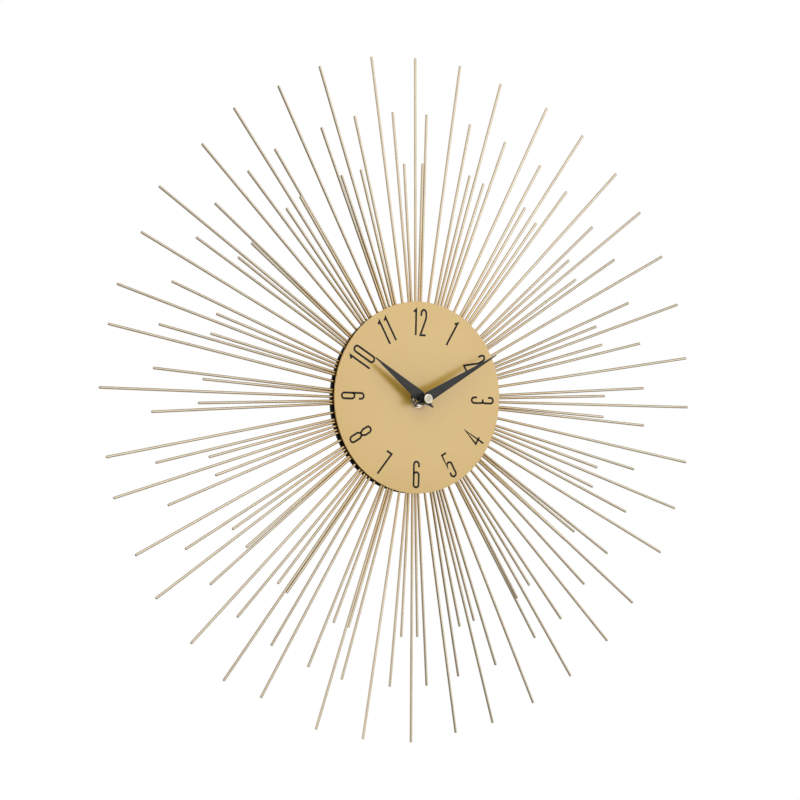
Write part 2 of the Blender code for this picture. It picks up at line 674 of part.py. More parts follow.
def motor():
    x, y = ROTOR_AT
    outer = rounded_box(-2.4, 22.0, 11.3, 25.2, 1.0, 2)
    window = rounded_box(6.6, 19.4, 17.0, 22.4, 0.5, 2)
    plate("stator_core", [outer, window, circle(3.1, (x, y))], 7.2, 8.0, "steel")
    bar = (23.8, 7.6)
    bobbin_length, flange, core, bore = 11.4, 2.7, 1.9, 1.6
    spool = [
        (flange, bobbin_length), (flange, bobbin_length - 0.6), (core, bobbin_length - 0.6), (core, 0.6),
        (flange, 0.6), (flange, 0.0), (bore, 0.0), (bore, bobbin_length),
    ]
    along_x("coil_bobbin", spool, 7.3, "gear_white", bar, closed=True)
    winding = [(2.55, 9.9), (2.55, 0.1), (2.0, 0.1), (2.0, 9.9)]
    along_x("coil_winding", winding, 8.0, "copper", bar, closed=True)


def electronics():
    board = rounded_box(14.4, 26.0, -8.0, 9.5, 0.6, 2)
    plate("circuit_board", [board], 5.6, 6.6, "board_green")
    dome = [(0, 7.7), (1.3, 7.6), (2.2, 7.2), (2.4, 6.7), (0, 6.7)]
    turned("control_chip", dome, "epoxy", (18.5, -3.5), closed=False)
    can = [(0, 6.0), (0.9, 6.0), (1.0, 5.9), (1.0, 0.1), (0.9, 0), (0, 0)]
    along_x("quartz_crystal", can, 17.0, "steel", (5.0, 7.75), steps=SMALL_STEPS)


dial_plate()
backing_disc()
rays()
clamp_stack()
hanger_bracket()
hands()
movement_case()
rear_cover()
train_plate()
battery()
motion_work()
going_train()
motor()
electronics()
for piece in PARTS.objects:
    if piece.type == "MESH":
        piece.data.shade_smooth()
        piece.data.set_sharp_from_angle(angle=math.radians(SHARP_EDGE_DEG))
bpy.context.view_layer.update()
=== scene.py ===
import json
import math
import random

import bmesh
import bpy
from mathutils import Matrix, Vector

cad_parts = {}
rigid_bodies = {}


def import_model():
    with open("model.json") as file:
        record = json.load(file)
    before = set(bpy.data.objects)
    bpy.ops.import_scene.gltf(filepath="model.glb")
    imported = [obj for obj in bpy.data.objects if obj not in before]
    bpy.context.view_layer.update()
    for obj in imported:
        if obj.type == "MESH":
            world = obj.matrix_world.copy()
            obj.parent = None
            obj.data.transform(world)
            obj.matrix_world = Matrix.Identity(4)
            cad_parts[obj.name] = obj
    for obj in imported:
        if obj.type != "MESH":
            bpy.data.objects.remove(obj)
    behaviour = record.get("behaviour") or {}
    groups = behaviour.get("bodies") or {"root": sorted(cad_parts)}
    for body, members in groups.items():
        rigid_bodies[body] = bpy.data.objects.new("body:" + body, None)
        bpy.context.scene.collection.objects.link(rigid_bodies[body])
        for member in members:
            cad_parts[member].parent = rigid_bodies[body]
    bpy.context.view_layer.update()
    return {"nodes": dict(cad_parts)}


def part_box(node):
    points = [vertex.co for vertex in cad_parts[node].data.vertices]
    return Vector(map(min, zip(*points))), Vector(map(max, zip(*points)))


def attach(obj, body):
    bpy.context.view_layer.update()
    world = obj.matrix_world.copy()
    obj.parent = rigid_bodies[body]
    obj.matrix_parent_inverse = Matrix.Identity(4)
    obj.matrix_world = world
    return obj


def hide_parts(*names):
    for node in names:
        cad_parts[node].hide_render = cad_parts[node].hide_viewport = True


# Sunburst wall clock, put together from the wall outwards: the movement with its battery, the hanger,
# the black hub, the ray fans, the gold dial with its numerals, the clamp nut and the hands.
for leftover in list(bpy.data.objects):
    bpy.data.objects.remove(leftover, do_unlink=True)
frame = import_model()
nodes = frame["nodes"]

# ---- Movement case ----
# A 56 mm square tray moulded in black ABS with a fine spark texture. Its front wall carries the bushing,
# and a wall across it parts the gear pocket from the battery bay. Its edges are rounded, and two ribs
# hold the cell.
MM = 0.001
STAND = Matrix.Rotation(math.pi / 2, 4, "X")  # lying clock (x, y up the dial, z off the wall) to the wall
case_low, case_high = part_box("movement_case")
CASE_HALF = case_high.x / MM
CASE_DEPTH = -case_low.y / MM
CASE_WALL = 1.2
POCKET_Y = (-9.4, 26.8)
BAY_Y = (-26.8, -10.6)
BAY_FLOOR = 15.0
BUSHING_HOLE = 4.15
NOTCH_RADIUS, NOTCH_DEPTH = 7.0, 3.2
RIB_X, RIB_HALF, RIB_LOW = 14.0, 0.5, 14.66


def arc(centre, radius, start_deg, end_deg, steps):
    """Points along an arc, both ends included."""
    points = []
    for i in range(steps + 1):
        a = math.radians(start_deg + (end_deg - start_deg) * i / steps)
        points.append((centre[0] + radius * math.cos(a), centre[1] + radius * math.sin(a)))
    return points


def ring(centre, radius, count):
    """Points all round a circle."""
    return arc(centre, radius, 0, 360 - 360 / count, count - 1)


def rounded_box(x0, x1, y0, y1, corner, steps=8):
    spots = ((x1 - corner, y1 - corner, 0), (x0 + corner, y1 - corner, 90),
             (x0 + corner, y0 + corner, 180), (x1 - corner, y0 + corner, 270))
    return [point for x, y, start in spots for point in arc((x, y), corner, start, start + 90, steps)]


def object_of(name, mesh):
    made = bpy.data.objects.new(name, mesh)
    bpy.context.scene.collection.objects.link(made)
    return made


def settled(obj, merge_flats=False):
    """Applies the object's modifiers and curves to a mesh, smooth except at real edges."""
    bpy.context.view_layer.update()
    graph = bpy.context.evaluated_depsgraph_get()
    mesh = bpy.data.meshes.new_from_object(obj.evaluated_get(graph))
    work = bmesh.new()
    work.from_mesh(mesh)
    bmesh.ops.remove_doubles(work, verts=work.verts, dist=1e-7)
    if merge_flats:
        bmesh.ops.dissolve_limit(work, angle_limit=math.radians(0.3), verts=work.verts, edges=work.edges)
    bmesh.ops.recalc_face_normals(work, faces=work.faces)
    # Wide flats are shaded flat: only rounded edges and turned surfaces are smooth
    edge_width, curved_width, sharp_deg = 0.4 * MM, 2.2 * MM, 32
    for face in work.faces:
        turns = [math.degrees(edge.calc_face_angle(0.0)) for edge in face.edges]
        curved = any(0.3 < turn < 12 for turn in turns)
        width = face.calc_area() / max(edge.calc_length() for edge in face.edges)
        face.smooth = width < edge_width or curved and width < curved_width
    work.to_mesh(mesh)
    work.free()
    mesh.set_sharp_from_angle(angle=math.radians(sharp_deg))
    name = obj.name
    bpy.data.objects.remove(obj, do_unlink=True)
    return object_of(name, mesh)


def plate(name, outlines, low, high, edge=0.15):
    """A flat piece between two heights, its edges rounded by edge. Outlines after the first are holes."""
    curve = bpy.data.curves.new(name, "CURVE")
    curve.dimensions = "2D"
    curve.fill_mode = "BOTH"
    curve.extrude = ((high - low) / 2 - edge) * MM
    curve.bevel_depth = edge * MM
    curve.bevel_resolution = 2
    curve.offset = -edge * MM
    for outline in outlines:
        spline = curve.splines.new("POLY")
        spline.points.add(len(outline) - 1)
        for point, (x, y) in zip(spline.points, outline):
            point.co = (x * MM, y * MM, 0, 1)
        spline.use_cyclic_u = True
    made = settled(object_of(name, curve))
    made.data.transform(Matrix.Translation((0, 0, (low + high) / 2 * MM)))
    return made


def join(name, pieces):
    """One object from several, all in the lying clock's coordinates."""
    work = bmesh.new()
    for piece in pieces:
        piece.data.transform(piece.matrix_basis)
        work.from_mesh(piece.data)
        bpy.data.objects.remove(piece, do_unlink=True)
    mesh = bpy.data.meshes.new(name)
    work.to_mesh(mesh)
    work.free()
    return object_of(name, mesh)


def cut(body, tools, operation="DIFFERENCE"):
    """The body with the tools taken out of it, or kept only inside them. The tools are used up."""
    for tool in tools:
        step = body.modifiers.new(tool.name, "BOOLEAN")
        step.operation = operation
        step.object = tool
    body = settled(body, True)
    for tool in tools:
        bpy.data.objects.remove(tool, do_unlink=True)
    return body


def soften(body, width, angle=40):
    """The body with every edge sharper than the angle rounded to the width."""
    bevel = body.modifiers.new("rounded edges", "BEVEL")
    bevel.width = width * MM
    bevel.segments = 2
    bevel.limit_method = "ANGLE"
    bevel.angle_limit = math.radians(angle)
    return settled(body)


def fit(piece, body, finish, slot, *stood_for):
    """Stands a piece up on the wall and ties it to its body, finish and CAD nodes. The slot is not used."""
    piece.matrix_world = STAND
    piece.data.materials.clear()
    piece.data.materials.append(finish)
    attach(piece, body)
    if stood_for:
        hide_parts(*stood_for)


def new_finish(name, colour, metallic, roughness):
    """A material with its Principled shader and a noise source in the object's own millimetres."""
    made = bpy.data.materials.new(name)
    made.use_nodes = True
    tree = made.node_tree
    shader = tree.nodes["Principled BSDF"]
    shader.inputs["Base Color"].default_value = (*colour, 1)
    shader.inputs["Metallic"].default_value = metallic
    shader.inputs["Roughness"].default_value = roughness
    place = tree.nodes.new("ShaderNodeTexCoord")
    size = tree.nodes.new("ShaderNodeVectorMath")
    size.operation = "SCALE"
    size.inputs["Scale"].default_value = 1 / MM
    tree.links.new(place.outputs["Object"], size.inputs[0])
    return made, tree, shader, size.outputs["Vector"]


def noise(tree, where, per_mm, detail=3.0, stretch=None):
    """A noise of about one blotch per 1 / per_mm millimetres, drawn out along an axis by stretch."""
    if stretch:
        drawn = tree.nodes.new("ShaderNodeVectorMath")
        drawn.operation = "MULTIPLY"
        drawn.inputs[1].default_value = stretch
        tree.links.new(where, drawn.inputs[0])
        where = drawn.outputs["Vector"]
    cloud = tree.nodes.new("ShaderNodeTexNoise")
    cloud.inputs["Scale"].default_value = per_mm
    cloud.inputs["Detail"].default_value = detail
    tree.links.new(where, cloud.inputs["Vector"])
    return cloud.outputs["Fac"]


def between(tree, factor, low, high, share_low=0.3, share_high=0.7):
    """A number that runs from low to high as the factor does."""
    mapped = tree.nodes.new("ShaderNodeMapRange")
    mapped.inputs["From Min"].default_value = share_low
    mapped.inputs["From Max"].default_value = share_high
    mapped.inputs["To Min"].default_value = low
    mapped.inputs["To Max"].default_value = high
    tree.links.new(factor, mapped.inputs["Value"])
    return mapped.outputs["Result"]


def tint(tree, factor, first, second, share_low=0.3, share_high=0.7):
    """A colour between two, by the factor."""
    ramp = tree.nodes.new("ShaderNodeValToRGB")
    ramp.color_ramp.elements[0].position = share_low
    ramp.color_ramp.elements[0].color = (*first, 1)
    ramp.color_ramp.elements[1].position = share_high
    ramp.color_ramp.elements[1].color = (*second, 1)
    tree.links.new(factor, ramp.inputs["Fac"])
    return ramp.outputs["Color"]


def raise_grain(tree, shader, height, depth_mm, strength):
    """Relief on the surface, from a height."""
    bump = tree.nodes.new("ShaderNodeBump")
    bump.inputs["Strength"].default_value = strength
    bump.inputs["Distance"].default_value = depth_mm * MM
    tree.links.new(height, bump.inputs["Height"])
    tree.links.new(bump.outputs["Normal"], shader.inputs["Normal"])


def spark_textured(name, colour, roughness, per_mm=5.0):
    """Moulded plastic with the fine pitted texture of a spark-eroded mould, faintly scuffed."""
    made, tree, shader, where = new_finish(name, colour, 0.0, roughness)
    pits = noise(tree, where, per_mm, 2.0)
    scuffs = noise(tree, where, 0.15, 5.0)
    lighter = tuple(0.012 + 1.25 * c for c in colour)
    tree.links.new(tint(tree, scuffs, colour, lighter, 0.45, 0.75), shader.inputs["Base Color"])
    rough = between(tree, scuffs, roughness - 0.08, roughness + 0.1)
    tree.links.new(rough, shader.inputs["Roughness"])
    raise_grain(tree, shader, pits, 0.04, 0.6)
    return made


case_plastic = spark_textured("case ABS, black", (0.012, 0.012, 0.013), 0.42)

square = rounded_box(-CASE_HALF, CASE_HALF, -CASE_HALF, CASE_HALF, 3.0)
tray = plate("movement_case_shell", [square], 0.0, CASE_DEPTH, 0.8)
inner = CASE_HALF - CASE_WALL
pocket_outline = rounded_box(-inner, inner, *POCKET_Y, 1.6)
pocket = plate("gear pocket", [pocket_outline], -2, CASE_DEPTH - CASE_WALL, 0.3)
bay = plate("battery bay", [rounded_box(-inner, inner, *BAY_Y, 1.2)], -2, BAY_FLOOR, 0.3)
bushing_hole = plate("bushing hole", [ring((0, 0), BUSHING_HOLE, 36)], 10, 20, 0.05)
finger_notch = plate("finger notch", [ring((0, -CASE_HALF), NOTCH_RADIUS, 36)], -2, NOTCH_DEPTH, 0.3)
tray = soften(cut(tray, [pocket, bay, bushing_hole, finger_notch]), 0.25)
ribs = []
for side in (-RIB_X, RIB_X):
    foot = rounded_box(side - RIB_HALF, side + RIB_HALF, BAY_Y[0] + 0.02, BAY_Y[1] - 0.02, 0.2)
    ribs.append(plate(f"cell rib {side}", [foot], RIB_LOW, BAY_FLOOR + 0.05, 0.1))
fit(join("case_shell", [tray, *ribs]), "clock", case_plastic, "case_black", "movement_case")

# ---- Rear cover ----
# A snap-in black lid over the gear pocket, with moulded grip lines along its top and a shallow round
# recess about the setting knob.
KNOB_AT = (12.0, 0.0)
cover_low, cover_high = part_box("rear_cover")
lid_x = cover_high.x / MM
lid_y = (cover_low.z / MM, cover_high.z / MM)
LID_THICK, KNOB_HOLE, DISH_RADIUS, DISH_DEPTH = 1.2, 6.3, 8.2, 0.35
GRIP_HALF, GRIP_Y, GRIP_WIDTH, GRIP_PITCH, GRIP_DEPTH = 22, 21.2, 0.7, 1.5, 0.3
lid_outlines = [rounded_box(-lid_x, lid_x, *lid_y, 1.0), ring(KNOB_AT, KNOB_HOLE, 60)]
lid = plate("lid", lid_outlines, 0, LID_THICK, 0.2)
dish = plate("knob dish", [ring(KNOB_AT, DISH_RADIUS, 60)], -0.3, DISH_DEPTH, 0.1)
grooves = []
for n in range(3):
    foot = GRIP_Y + GRIP_PITCH * n
    groove = rounded_box(-GRIP_HALF, GRIP_HALF, foot, foot + GRIP_WIDTH, 0.3)
    grooves.append(plate(f"grip {n}", [groove], -0.3, GRIP_DEPTH, 0.08))
lid = cut(lid, [dish, *grooves])
fit(lid, "clock", case_plastic, "case_black", "rear_cover")

# ---- Setting knob ----
# A knurled knob of the same black plastic on a thin shaft that reaches up to the motion work. A groove
# round its face and a raised dot show it turning.
def turned(name, profile, centre=(0, 0), steps=96, closed=True, along=None):
    """A turned piece from its (radius, height) profile, about a line off the wall or along x."""
    mesh = bpy.data.meshes.new(name)
    edges = [(i, i + 1) for i in range(len(profile) - 1)]
    if closed:
        edges.append((len(profile) - 1, 0))
    mesh.from_pydata([(r * MM, 0, z * MM) for r, z in profile], edges, [])
    made = object_of(name, mesh)
    screw = made.modifiers.new("turn", "SCREW")
    screw.steps = steps
    screw.render_steps = steps
    screw.use_merge_vertices = True
    screw.merge_threshold = 1e-7
    made = settled(made)
    if along is not None:
        made.data.transform(Matrix.Rotation(math.pi / 2, 4, "Y"))
        made.data.transform(Matrix.Translation((along * MM, centre[0] * MM, centre[1] * MM)))
    else:
        made.data.transform(Matrix.Translation((centre[0] * MM, centre[1] * MM, 0)))
    return made


def rounded(profile, radius, closed=True, steps=4):
    """The profile with every corner turned into a small arc."""
    count = len(profile)
    out = []
    for i, (x, y) in enumerate(profile):
        if not closed and i in (0, count - 1):
            out.append((x, y))
            continue
        here = Vector((x, y))
        before = Vector(profile[i - 1]) - here
        after = Vector(profile[(i + 1) % count]) - here
        turn = before.angle(after)
        reach = min(radius / math.tan(turn / 2), before.length * 0.45, after.length * 0.45)
        start = here + before.normalized() * reach
        end = here + after.normalized() * reach
        for n in range(steps + 1):
            t = n / steps
            out.append(tuple(start * (1 - t) ** 2 + here * 2 * t * (1 - t) + end * t ** 2))
    return out


KNURLS, CREST, VALLEY = 40, 5.5, 5.15
KNOB_BACK, KNOB_FRONT = 0.3, 2.3
DOT_RADIUS, DOT_OUT = 0.55, 2.4
STEM_RADIUS, STEM_TOP = 0.9, 12.2
knurled = []
for i in range(2 * KNURLS):
    r = VALLEY if i % 2 else CREST
    a = math.pi * i / KNURLS
    knurled.append((KNOB_AT[0] + r * math.cos(a), KNOB_AT[1] + r * math.sin(a)))
grip = plate("knob grip", [knurled], KNOB_BACK, KNOB_FRONT, 0.2)
face_groove = turned("face groove", [(4.3, 0.6), (4.3, 0.0), (3.7, 0.0), (3.7, 0.6)], KNOB_AT, 64)
grip = cut(grip, [face_groove])
dot_profile = rounded([(0, 0.9), (DOT_RADIUS, 0.9), (DOT_RADIUS, KNOB_BACK), (0, KNOB_BACK)], 0.12, False)
dot = turned("knob dot", dot_profile, (KNOB_AT[0], DOT_OUT), 32, closed=False)
stem_profile = rounded([(0, STEM_TOP), (STEM_RADIUS, STEM_TOP), (STEM_RADIUS, 2.0), (0, 2.0)], 0.15, False)
stem = turned("knob stem", stem_profile, KNOB_AT, 32, closed=False)
fit(join("setting_knob", [grip, dot, stem]), "time_set_knob", case_plastic, "case_black", "time_set_knob")

# ---- Battery and its contacts ----
# One AA cell lying across the foot of the case: a steel can in a lacquered jacket with a paler band at
# its positive end. A nickel leaf touches its nub, and a flat wire cone presses on its other end.
CELL_Y, CELL_Z, CELL_RADIUS = -18.7, 7.5, 7.1
CELL_LEFT, CAN_LENGTH, NUB = -24.9, 49.2, 1.3


def brushed(name, colour, roughness, stretch, per_mm=2.0, tarnish=None):
    """Bare metal with fine lines from rolling or turning, and a faint cloudiness."""
    made, tree, shader, where = new_finish(name, colour, 1.0, roughness)
    lines = noise(tree, where, per_mm, 4.0, stretch)
    clouds = noise(tree, where, 0.25, 4.0)
    duller = tarnish or tuple(0.8 * c for c in colour)
    tree.links.new(tint(tree, clouds, colour, duller), shader.inputs["Base Color"])
    tree.links.new(between(tree, lines, roughness - 0.07, roughness + 0.09), shader.inputs["Roughness"])
    raise_grain(tree, shader, lines, 0.01, 0.35)
    return made


def multiplied(tree, first, second):
    """One colour times another."""
    mixed = tree.nodes.new("ShaderNodeMix")
    mixed.data_type = "RGBA"
    mixed.blend_type = "MULTIPLY"
    mixed.inputs["Factor"].default_value = 1.0
    tree.links.new(first, mixed.inputs[6])
    tree.links.new(second, mixed.inputs[7])
    return mixed.outputs[2]


def jacket_lacquer():
    """Smoked blue lacquer with a silver band near the positive end, fine specks and a hard gloss."""
    made, tree, shader, where = new_finish("cell jacket lacquer", (0.05, 0.085, 0.12), 0.15, 0.28)
    shader.inputs["Coat Weight"].default_value = 0.5
    shader.inputs["Coat Roughness"].default_value = 0.08
    split = tree.nodes.new("ShaderNodeSeparateXYZ")
    tree.links.new(where, split.inputs["Vector"])
    band = tint(tree, between(tree, split.outputs["X"], 0, 1, 15.8, 16.0), (0.045, 0.075, 0.11),
                (0.62, 0.6, 0.55), 0.4, 0.6)
    specks = tint(tree, noise(tree, where, 6.0, 2.0), (0.82, 0.82, 0.82), (1, 1, 1))
    tree.links.new(multiplied(tree, band, specks), shader.inputs["Base Color"])
    tree.links.new(between(tree, noise(tree, where, 0.5, 3.0), 0.22, 0.36), shader.inputs["Roughness"])
    return made


bright_steel = brushed("bright rolled steel", (0.58, 0.575, 0.56), 0.3, (0.3, 3.0, 1.0))
nickel = brushed("nickel plate", (0.66, 0.62, 0.54), 0.25, (3.0, 0.4, 3.0), tarnish=(0.5, 0.44, 0.34))

cell_axis = (CELL_Y, CELL_Z)
can_end = CAN_LENGTH - 0.9
jacket_profile = [(CELL_RADIUS - 0.9, can_end), (CELL_RADIUS, can_end), (CELL_RADIUS, 0.35),
                  (CELL_RADIUS - 0.9, 0.35)]
jacket = turned("cell_jacket", rounded(jacket_profile, 0.35), cell_axis, 96, along=CELL_LEFT)
fit(jacket, "battery", jacket_lacquer(), "cell_jacket", "aa_battery")
top_profile = [(0, CAN_LENGTH + NUB), (2.7, CAN_LENGTH + NUB), (2.75, CAN_LENGTH), (5.4, CAN_LENGTH),
               (6.2, CAN_LENGTH - 0.15), (6.6, can_end), (6.15, can_end), (0, can_end)]
cell_top = turned("cell_positive_end", rounded(top_profile, 0.25, False), cell_axis, 96, False, CELL_LEFT)
fit(cell_top, "battery", bright_steel, "steel")
foot_profile = [(0, 0.4), (6.2, 0.4), (6.5, 0.2), (6.1, 0.02), (5.2, 0.0), (4.9, 0.12), (0, 0.12)]
cell_foot = turned("cell_negative_end", rounded(foot_profile, 0.1, False), cell_axis, 96, False, CELL_LEFT)
fit(cell_foot, "battery", bright_steel, "steel")

leaf_low, leaf_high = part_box("positive_contact")
leaf_x = (leaf_low.x / MM, leaf_high.x / MM)
leaf_top = -leaf_low.y / MM
LEAF_FOOT, LEAF_SHOULDER, LEAF_HALF, TONGUE_HALF = 1.5, 13.5, 4.0, 1.5
leaf_outline = [(-LEAF_FOOT, CELL_Y - LEAF_HALF), (-LEAF_SHOULDER, CELL_Y - LEAF_HALF),
                (-LEAF_SHOULDER, CELL_Y - TONGUE_HALF), (-leaf_top, CELL_Y - TONGUE_HALF),
                (-leaf_top, CELL_Y + TONGUE_HALF), (-LEAF_SHOULDER, CELL_Y + TONGUE_HALF),
                (-LEAF_SHOULDER, CELL_Y + LEAF_HALF), (-LEAF_FOOT, CELL_Y + LEAF_HALF)]
leaf = plate("leaf", [rounded(leaf_outline, 0.8)], *leaf_x, 0.1)
leaf.data.transform(Matrix.Rotation(math.pi / 2, 4, "Y"))
dimple = turned("dimple", rounded([(0, 0.0), (0.9, 0.0), (1.6, 0.42), (0, 0.42)], 0.3, False),
                cell_axis, 48, False, leaf_x[0] - 0.4)
fit(join("positive_leaf", [leaf, dimple]), "clock", nickel, "brass", "positive_contact")


def wire(name, points, radius, sides=4):
    """A round wire along a line of points, with closed ends."""
    curve = bpy.data.curves.new(name, "CURVE")
    curve.dimensions = "3D"
    curve.bevel_depth = radius * MM
    curve.bevel_resolution = sides
    curve.use_fill_caps = True
    spline = curve.splines.new("POLY")
    spline.points.add(len(points) - 1)
    for point, place in zip(spline.points, points):
        point.co = (*(c * MM for c in place), 1)
    return settled(object_of(name, curve))


TURNS, WIRE_RADIUS, CONE_STEPS = 2.6, 0.22, 130
CONE_WIDE, CONE_NARROWS, CONE_RISE, CONE_GAP = 4.6, 2.2, 0.75, 0.3
coil = []
for i in range(CONE_STEPS + 1):
    share = i / CONE_STEPS
    a = 2 * math.pi * TURNS * share
    r = CONE_WIDE - CONE_NARROWS * share
    x = CELL_LEFT - CONE_GAP - WIRE_RADIUS - CONE_RISE * (1 - share)
    coil.append((x, CELL_Y + r * math.cos(a), CELL_Z + r * math.sin(a)))
fit(wire("negative_wire_cone", coil, WIRE_RADIUS), "clock", bright_steel, "steel", "negative_spring")

# ---- Wheels, motor and circuit inside the case ----
# Acetal wheels with moulded arbors, a soft iron stator round a magnet, a coil of enamelled wire on its
# bobbin, and a small circuit board with an epoxy-covered chip and a quartz can. They keep the frame's
# own solids, each with its material.
def acetal(name, colour):
    """Natural acetal: slightly waxy, light goes a little way in, with faint flow marks."""
    made, tree, shader, where = new_finish(name, colour, 0.0, 0.38)
    shader.inputs["Subsurface Weight"].default_value = 0.15
    shader.inputs["Subsurface Scale"].default_value = 0.0008
    flow = noise(tree, where, 0.9, 4.0)
    tree.links.new(tint(tree, flow, colour, tuple(0.88 * c for c in colour)), shader.inputs["Base Color"])
    tree.links.new(between(tree, flow, 0.3, 0.46), shader.inputs["Roughness"])
    raise_grain(tree, shader, noise(tree, where, 8.0, 2.0), 0.01, 0.3)
    return made


def laminate():
    """Green solder mask over glass cloth: the weave shows as a fine crossed grain."""
    made, tree, shader, where = new_finish("circuit laminate", (0.03, 0.16, 0.06), 0.0, 0.35)
    weave = noise(tree, where, 3.0, 2.0, (4.0, 0.6, 1.0))
    tree.links.new(tint(tree, weave, (0.02, 0.13, 0.05), (0.05, 0.21, 0.09)), shader.inputs["Base Color"])
    raise_grain(tree, shader, weave, 0.02, 0.5)
    return made


def winding_copper():
    """Fine enamelled copper wire, wound so tightly that only its lay shows."""
    made, tree, shader, where = new_finish("enamelled copper wire", (0.62, 0.22, 0.08), 1.0, 0.3)
    strands = noise(tree, where, 9.0, 1.0, (3.0, 0.15, 0.15))
    tree.links.new(tint(tree, strands, (0.42, 0.13, 0.05), (0.75, 0.31, 0.12)), shader.inputs["Base Color"])
    raise_grain(tree, shader, strands, 0.05, 0.8)
    return made


white_acetal = acetal("white acetal", (0.74, 0.73, 0.69))
grey_acetal = acetal("grey acetal", (0.27, 0.28, 0.3))
magnet_black = spark_textured("sintered magnet", (0.05, 0.05, 0.055), 0.45, 7.0)
epoxy_drop = spark_textured("black epoxy", (0.01, 0.01, 0.01), 0.3, 1.2)
plate_plastic = spark_textured("train plate ABS", (0.02, 0.02, 0.022), 0.45, 4.0)
CARRIED_OVER = {
    "centre_wheel": white_acetal, "third_wheel": grey_acetal, "second_wheel": white_acetal,
    "intermediate_wheel": grey_acetal, "rotor_pinion": white_acetal, "motion_wheel": white_acetal,
    "hour_wheel": white_acetal, "minute_shaft": bright_steel, "rotor_magnet": magnet_black,
    "stator_core": bright_steel, "coil_bobbin": white_acetal, "coil_winding": winding_copper(),
    "circuit_board": laminate(), "control_chip": epoxy_drop, "quartz_crystal": bright_steel,
    "train_plate": plate_plastic,
}
for node, finish in CARRIED_OVER.items():
    nodes[node].data.materials.clear()
    nodes[node].data.materials.append(finish)

# ---- Hanger, rubber washer and bushing ----
# A cranked strip of zinc-plated steel hangs the clock by its keyhole. The movement's brass bushing passes
# through it, through a soft rubber washer and the hub, and is threaded along its front half.
HANGER_HALF, STRIP = 13.0, 1.0
hanger_low, hanger_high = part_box("hanger_bracket")
hanger_front = -hanger_low.y / MM
hanger_back = -hanger_high.y / MM
hanger_foot, hanger_top = hanger_low.z / MM, hanger_high.z / MM
BEND_Y = CASE_HALF + 0.6
crank = [(hanger_foot, hanger_front - STRIP), (hanger_foot, hanger_front), (BEND_Y + STRIP, hanger_front),
         (BEND_Y + STRIP, hanger_back + STRIP), (hanger_top, hanger_back + STRIP), (hanger_top, hanger_back),
         (BEND_Y, hanger_back), (BEND_Y, hanger_front - STRIP)]
hanger = plate("hanger", [rounded(crank, 0.45)], -HANGER_HALF, HANGER_HALF, 0.12)
hanger.data.transform(Matrix(((0, 0, 1, 0), (1, 0, 0, 0), (0, 1, 0, 0), (0, 0, 0, 1))))
HOLE_Y, HOLE_RADIUS, SLOT, RISE = 36.5, 4.5, 2.2, 5.5
meet = math.degrees(math.acos(SLOT / HOLE_RADIUS))
keyhole = arc((0, HOLE_Y), HOLE_RADIUS, meet, -180 - meet, 48) + arc((0, HOLE_Y + RISE), SLOT, 180, 0, 20)
CORNER, CLEARANCE = 4, 4.3
corners = []
for side in (-1, 1):
    x = side * HANGER_HALF
    round_at = (x - CORNER * side, hanger_top - CORNER)
    nip = [(x + 2 * side, hanger_top + 1), (x + 2 * side, round_at[1]),
           *arc(round_at, CORNER, 90 - 90 * side, 90, 10), (round_at[0], hanger_top + 1)]
    corners.append(plate(f"tab corner {side}", [nip], -2, 4, 0.01))
hanger = cut(hanger, [plate("keyhole cut", [keyhole], -2, 4, 0.01), *corners,
                      plate("bushing clearance", [ring((0, 0), CLEARANCE, 60)], 10, 20, 0.01)])
zinc = brushed("zinc plate", (0.52, 0.53, 0.54), 0.34, (4.0, 0.35, 1.0), 1.6, (0.42, 0.43, 0.44))
fit(hanger, "clock", zinc, "steel", "hanger_bracket")

soft_rubber = spark_textured("soft rubber", (0.016, 0.016, 0.016), 0.72, 3.0)
washer_profile = [(12.0, 18.4), (12.0, 17.6), (5.0, 17.6), (5.0, 18.4)]
fit(turned("rubber_pad", rounded(washer_profile, 0.3)), "clock", soft_rubber, "rubber", "rubber_washer")

BUSHING_RADIUS, BUSHING_BORE, BUSHING_TOP, THREAD_PITCH = 4.0, 2.55, 30.7, 0.75
thread = [(BUSHING_RADIUS - 0.35, BUSHING_TOP - 0.12)]
crest_z = BUSHING_TOP - 0.4
while crest_z > 18.5:
    thread += [(BUSHING_RADIUS, crest_z), (BUSHING_RADIUS - 0.4, crest_z - THREAD_PITCH / 2)]
    crest_z -= THREAD_PITCH
FLANGE_RADIUS, FLANGE_BACK, FLANGE_FRONT = 6.0, 13.5, 14.6
bushing_profile = [(BUSHING_BORE + 0.2, BUSHING_TOP), (BUSHING_RADIUS - 0.5, BUSHING_TOP), *thread,
                   (BUSHING_RADIUS, 18.2), (BUSHING_RADIUS, FLANGE_FRONT), (FLANGE_RADIUS, FLANGE_FRONT),
                   (FLANGE_RADIUS, FLANGE_BACK), (BUSHING_BORE, FLANGE_BACK),
                   (BUSHING_BORE, BUSHING_TOP - 0.2)]
brass = brushed("turned brass", (0.66, 0.44, 0.17), 0.24, (0.4, 0.4, 6.0), tarnish=(0.5, 0.31, 0.11))
fit(turned("bushing", bushing_profile, steps=72), "clock", brass, "brass", "threaded_bushing")

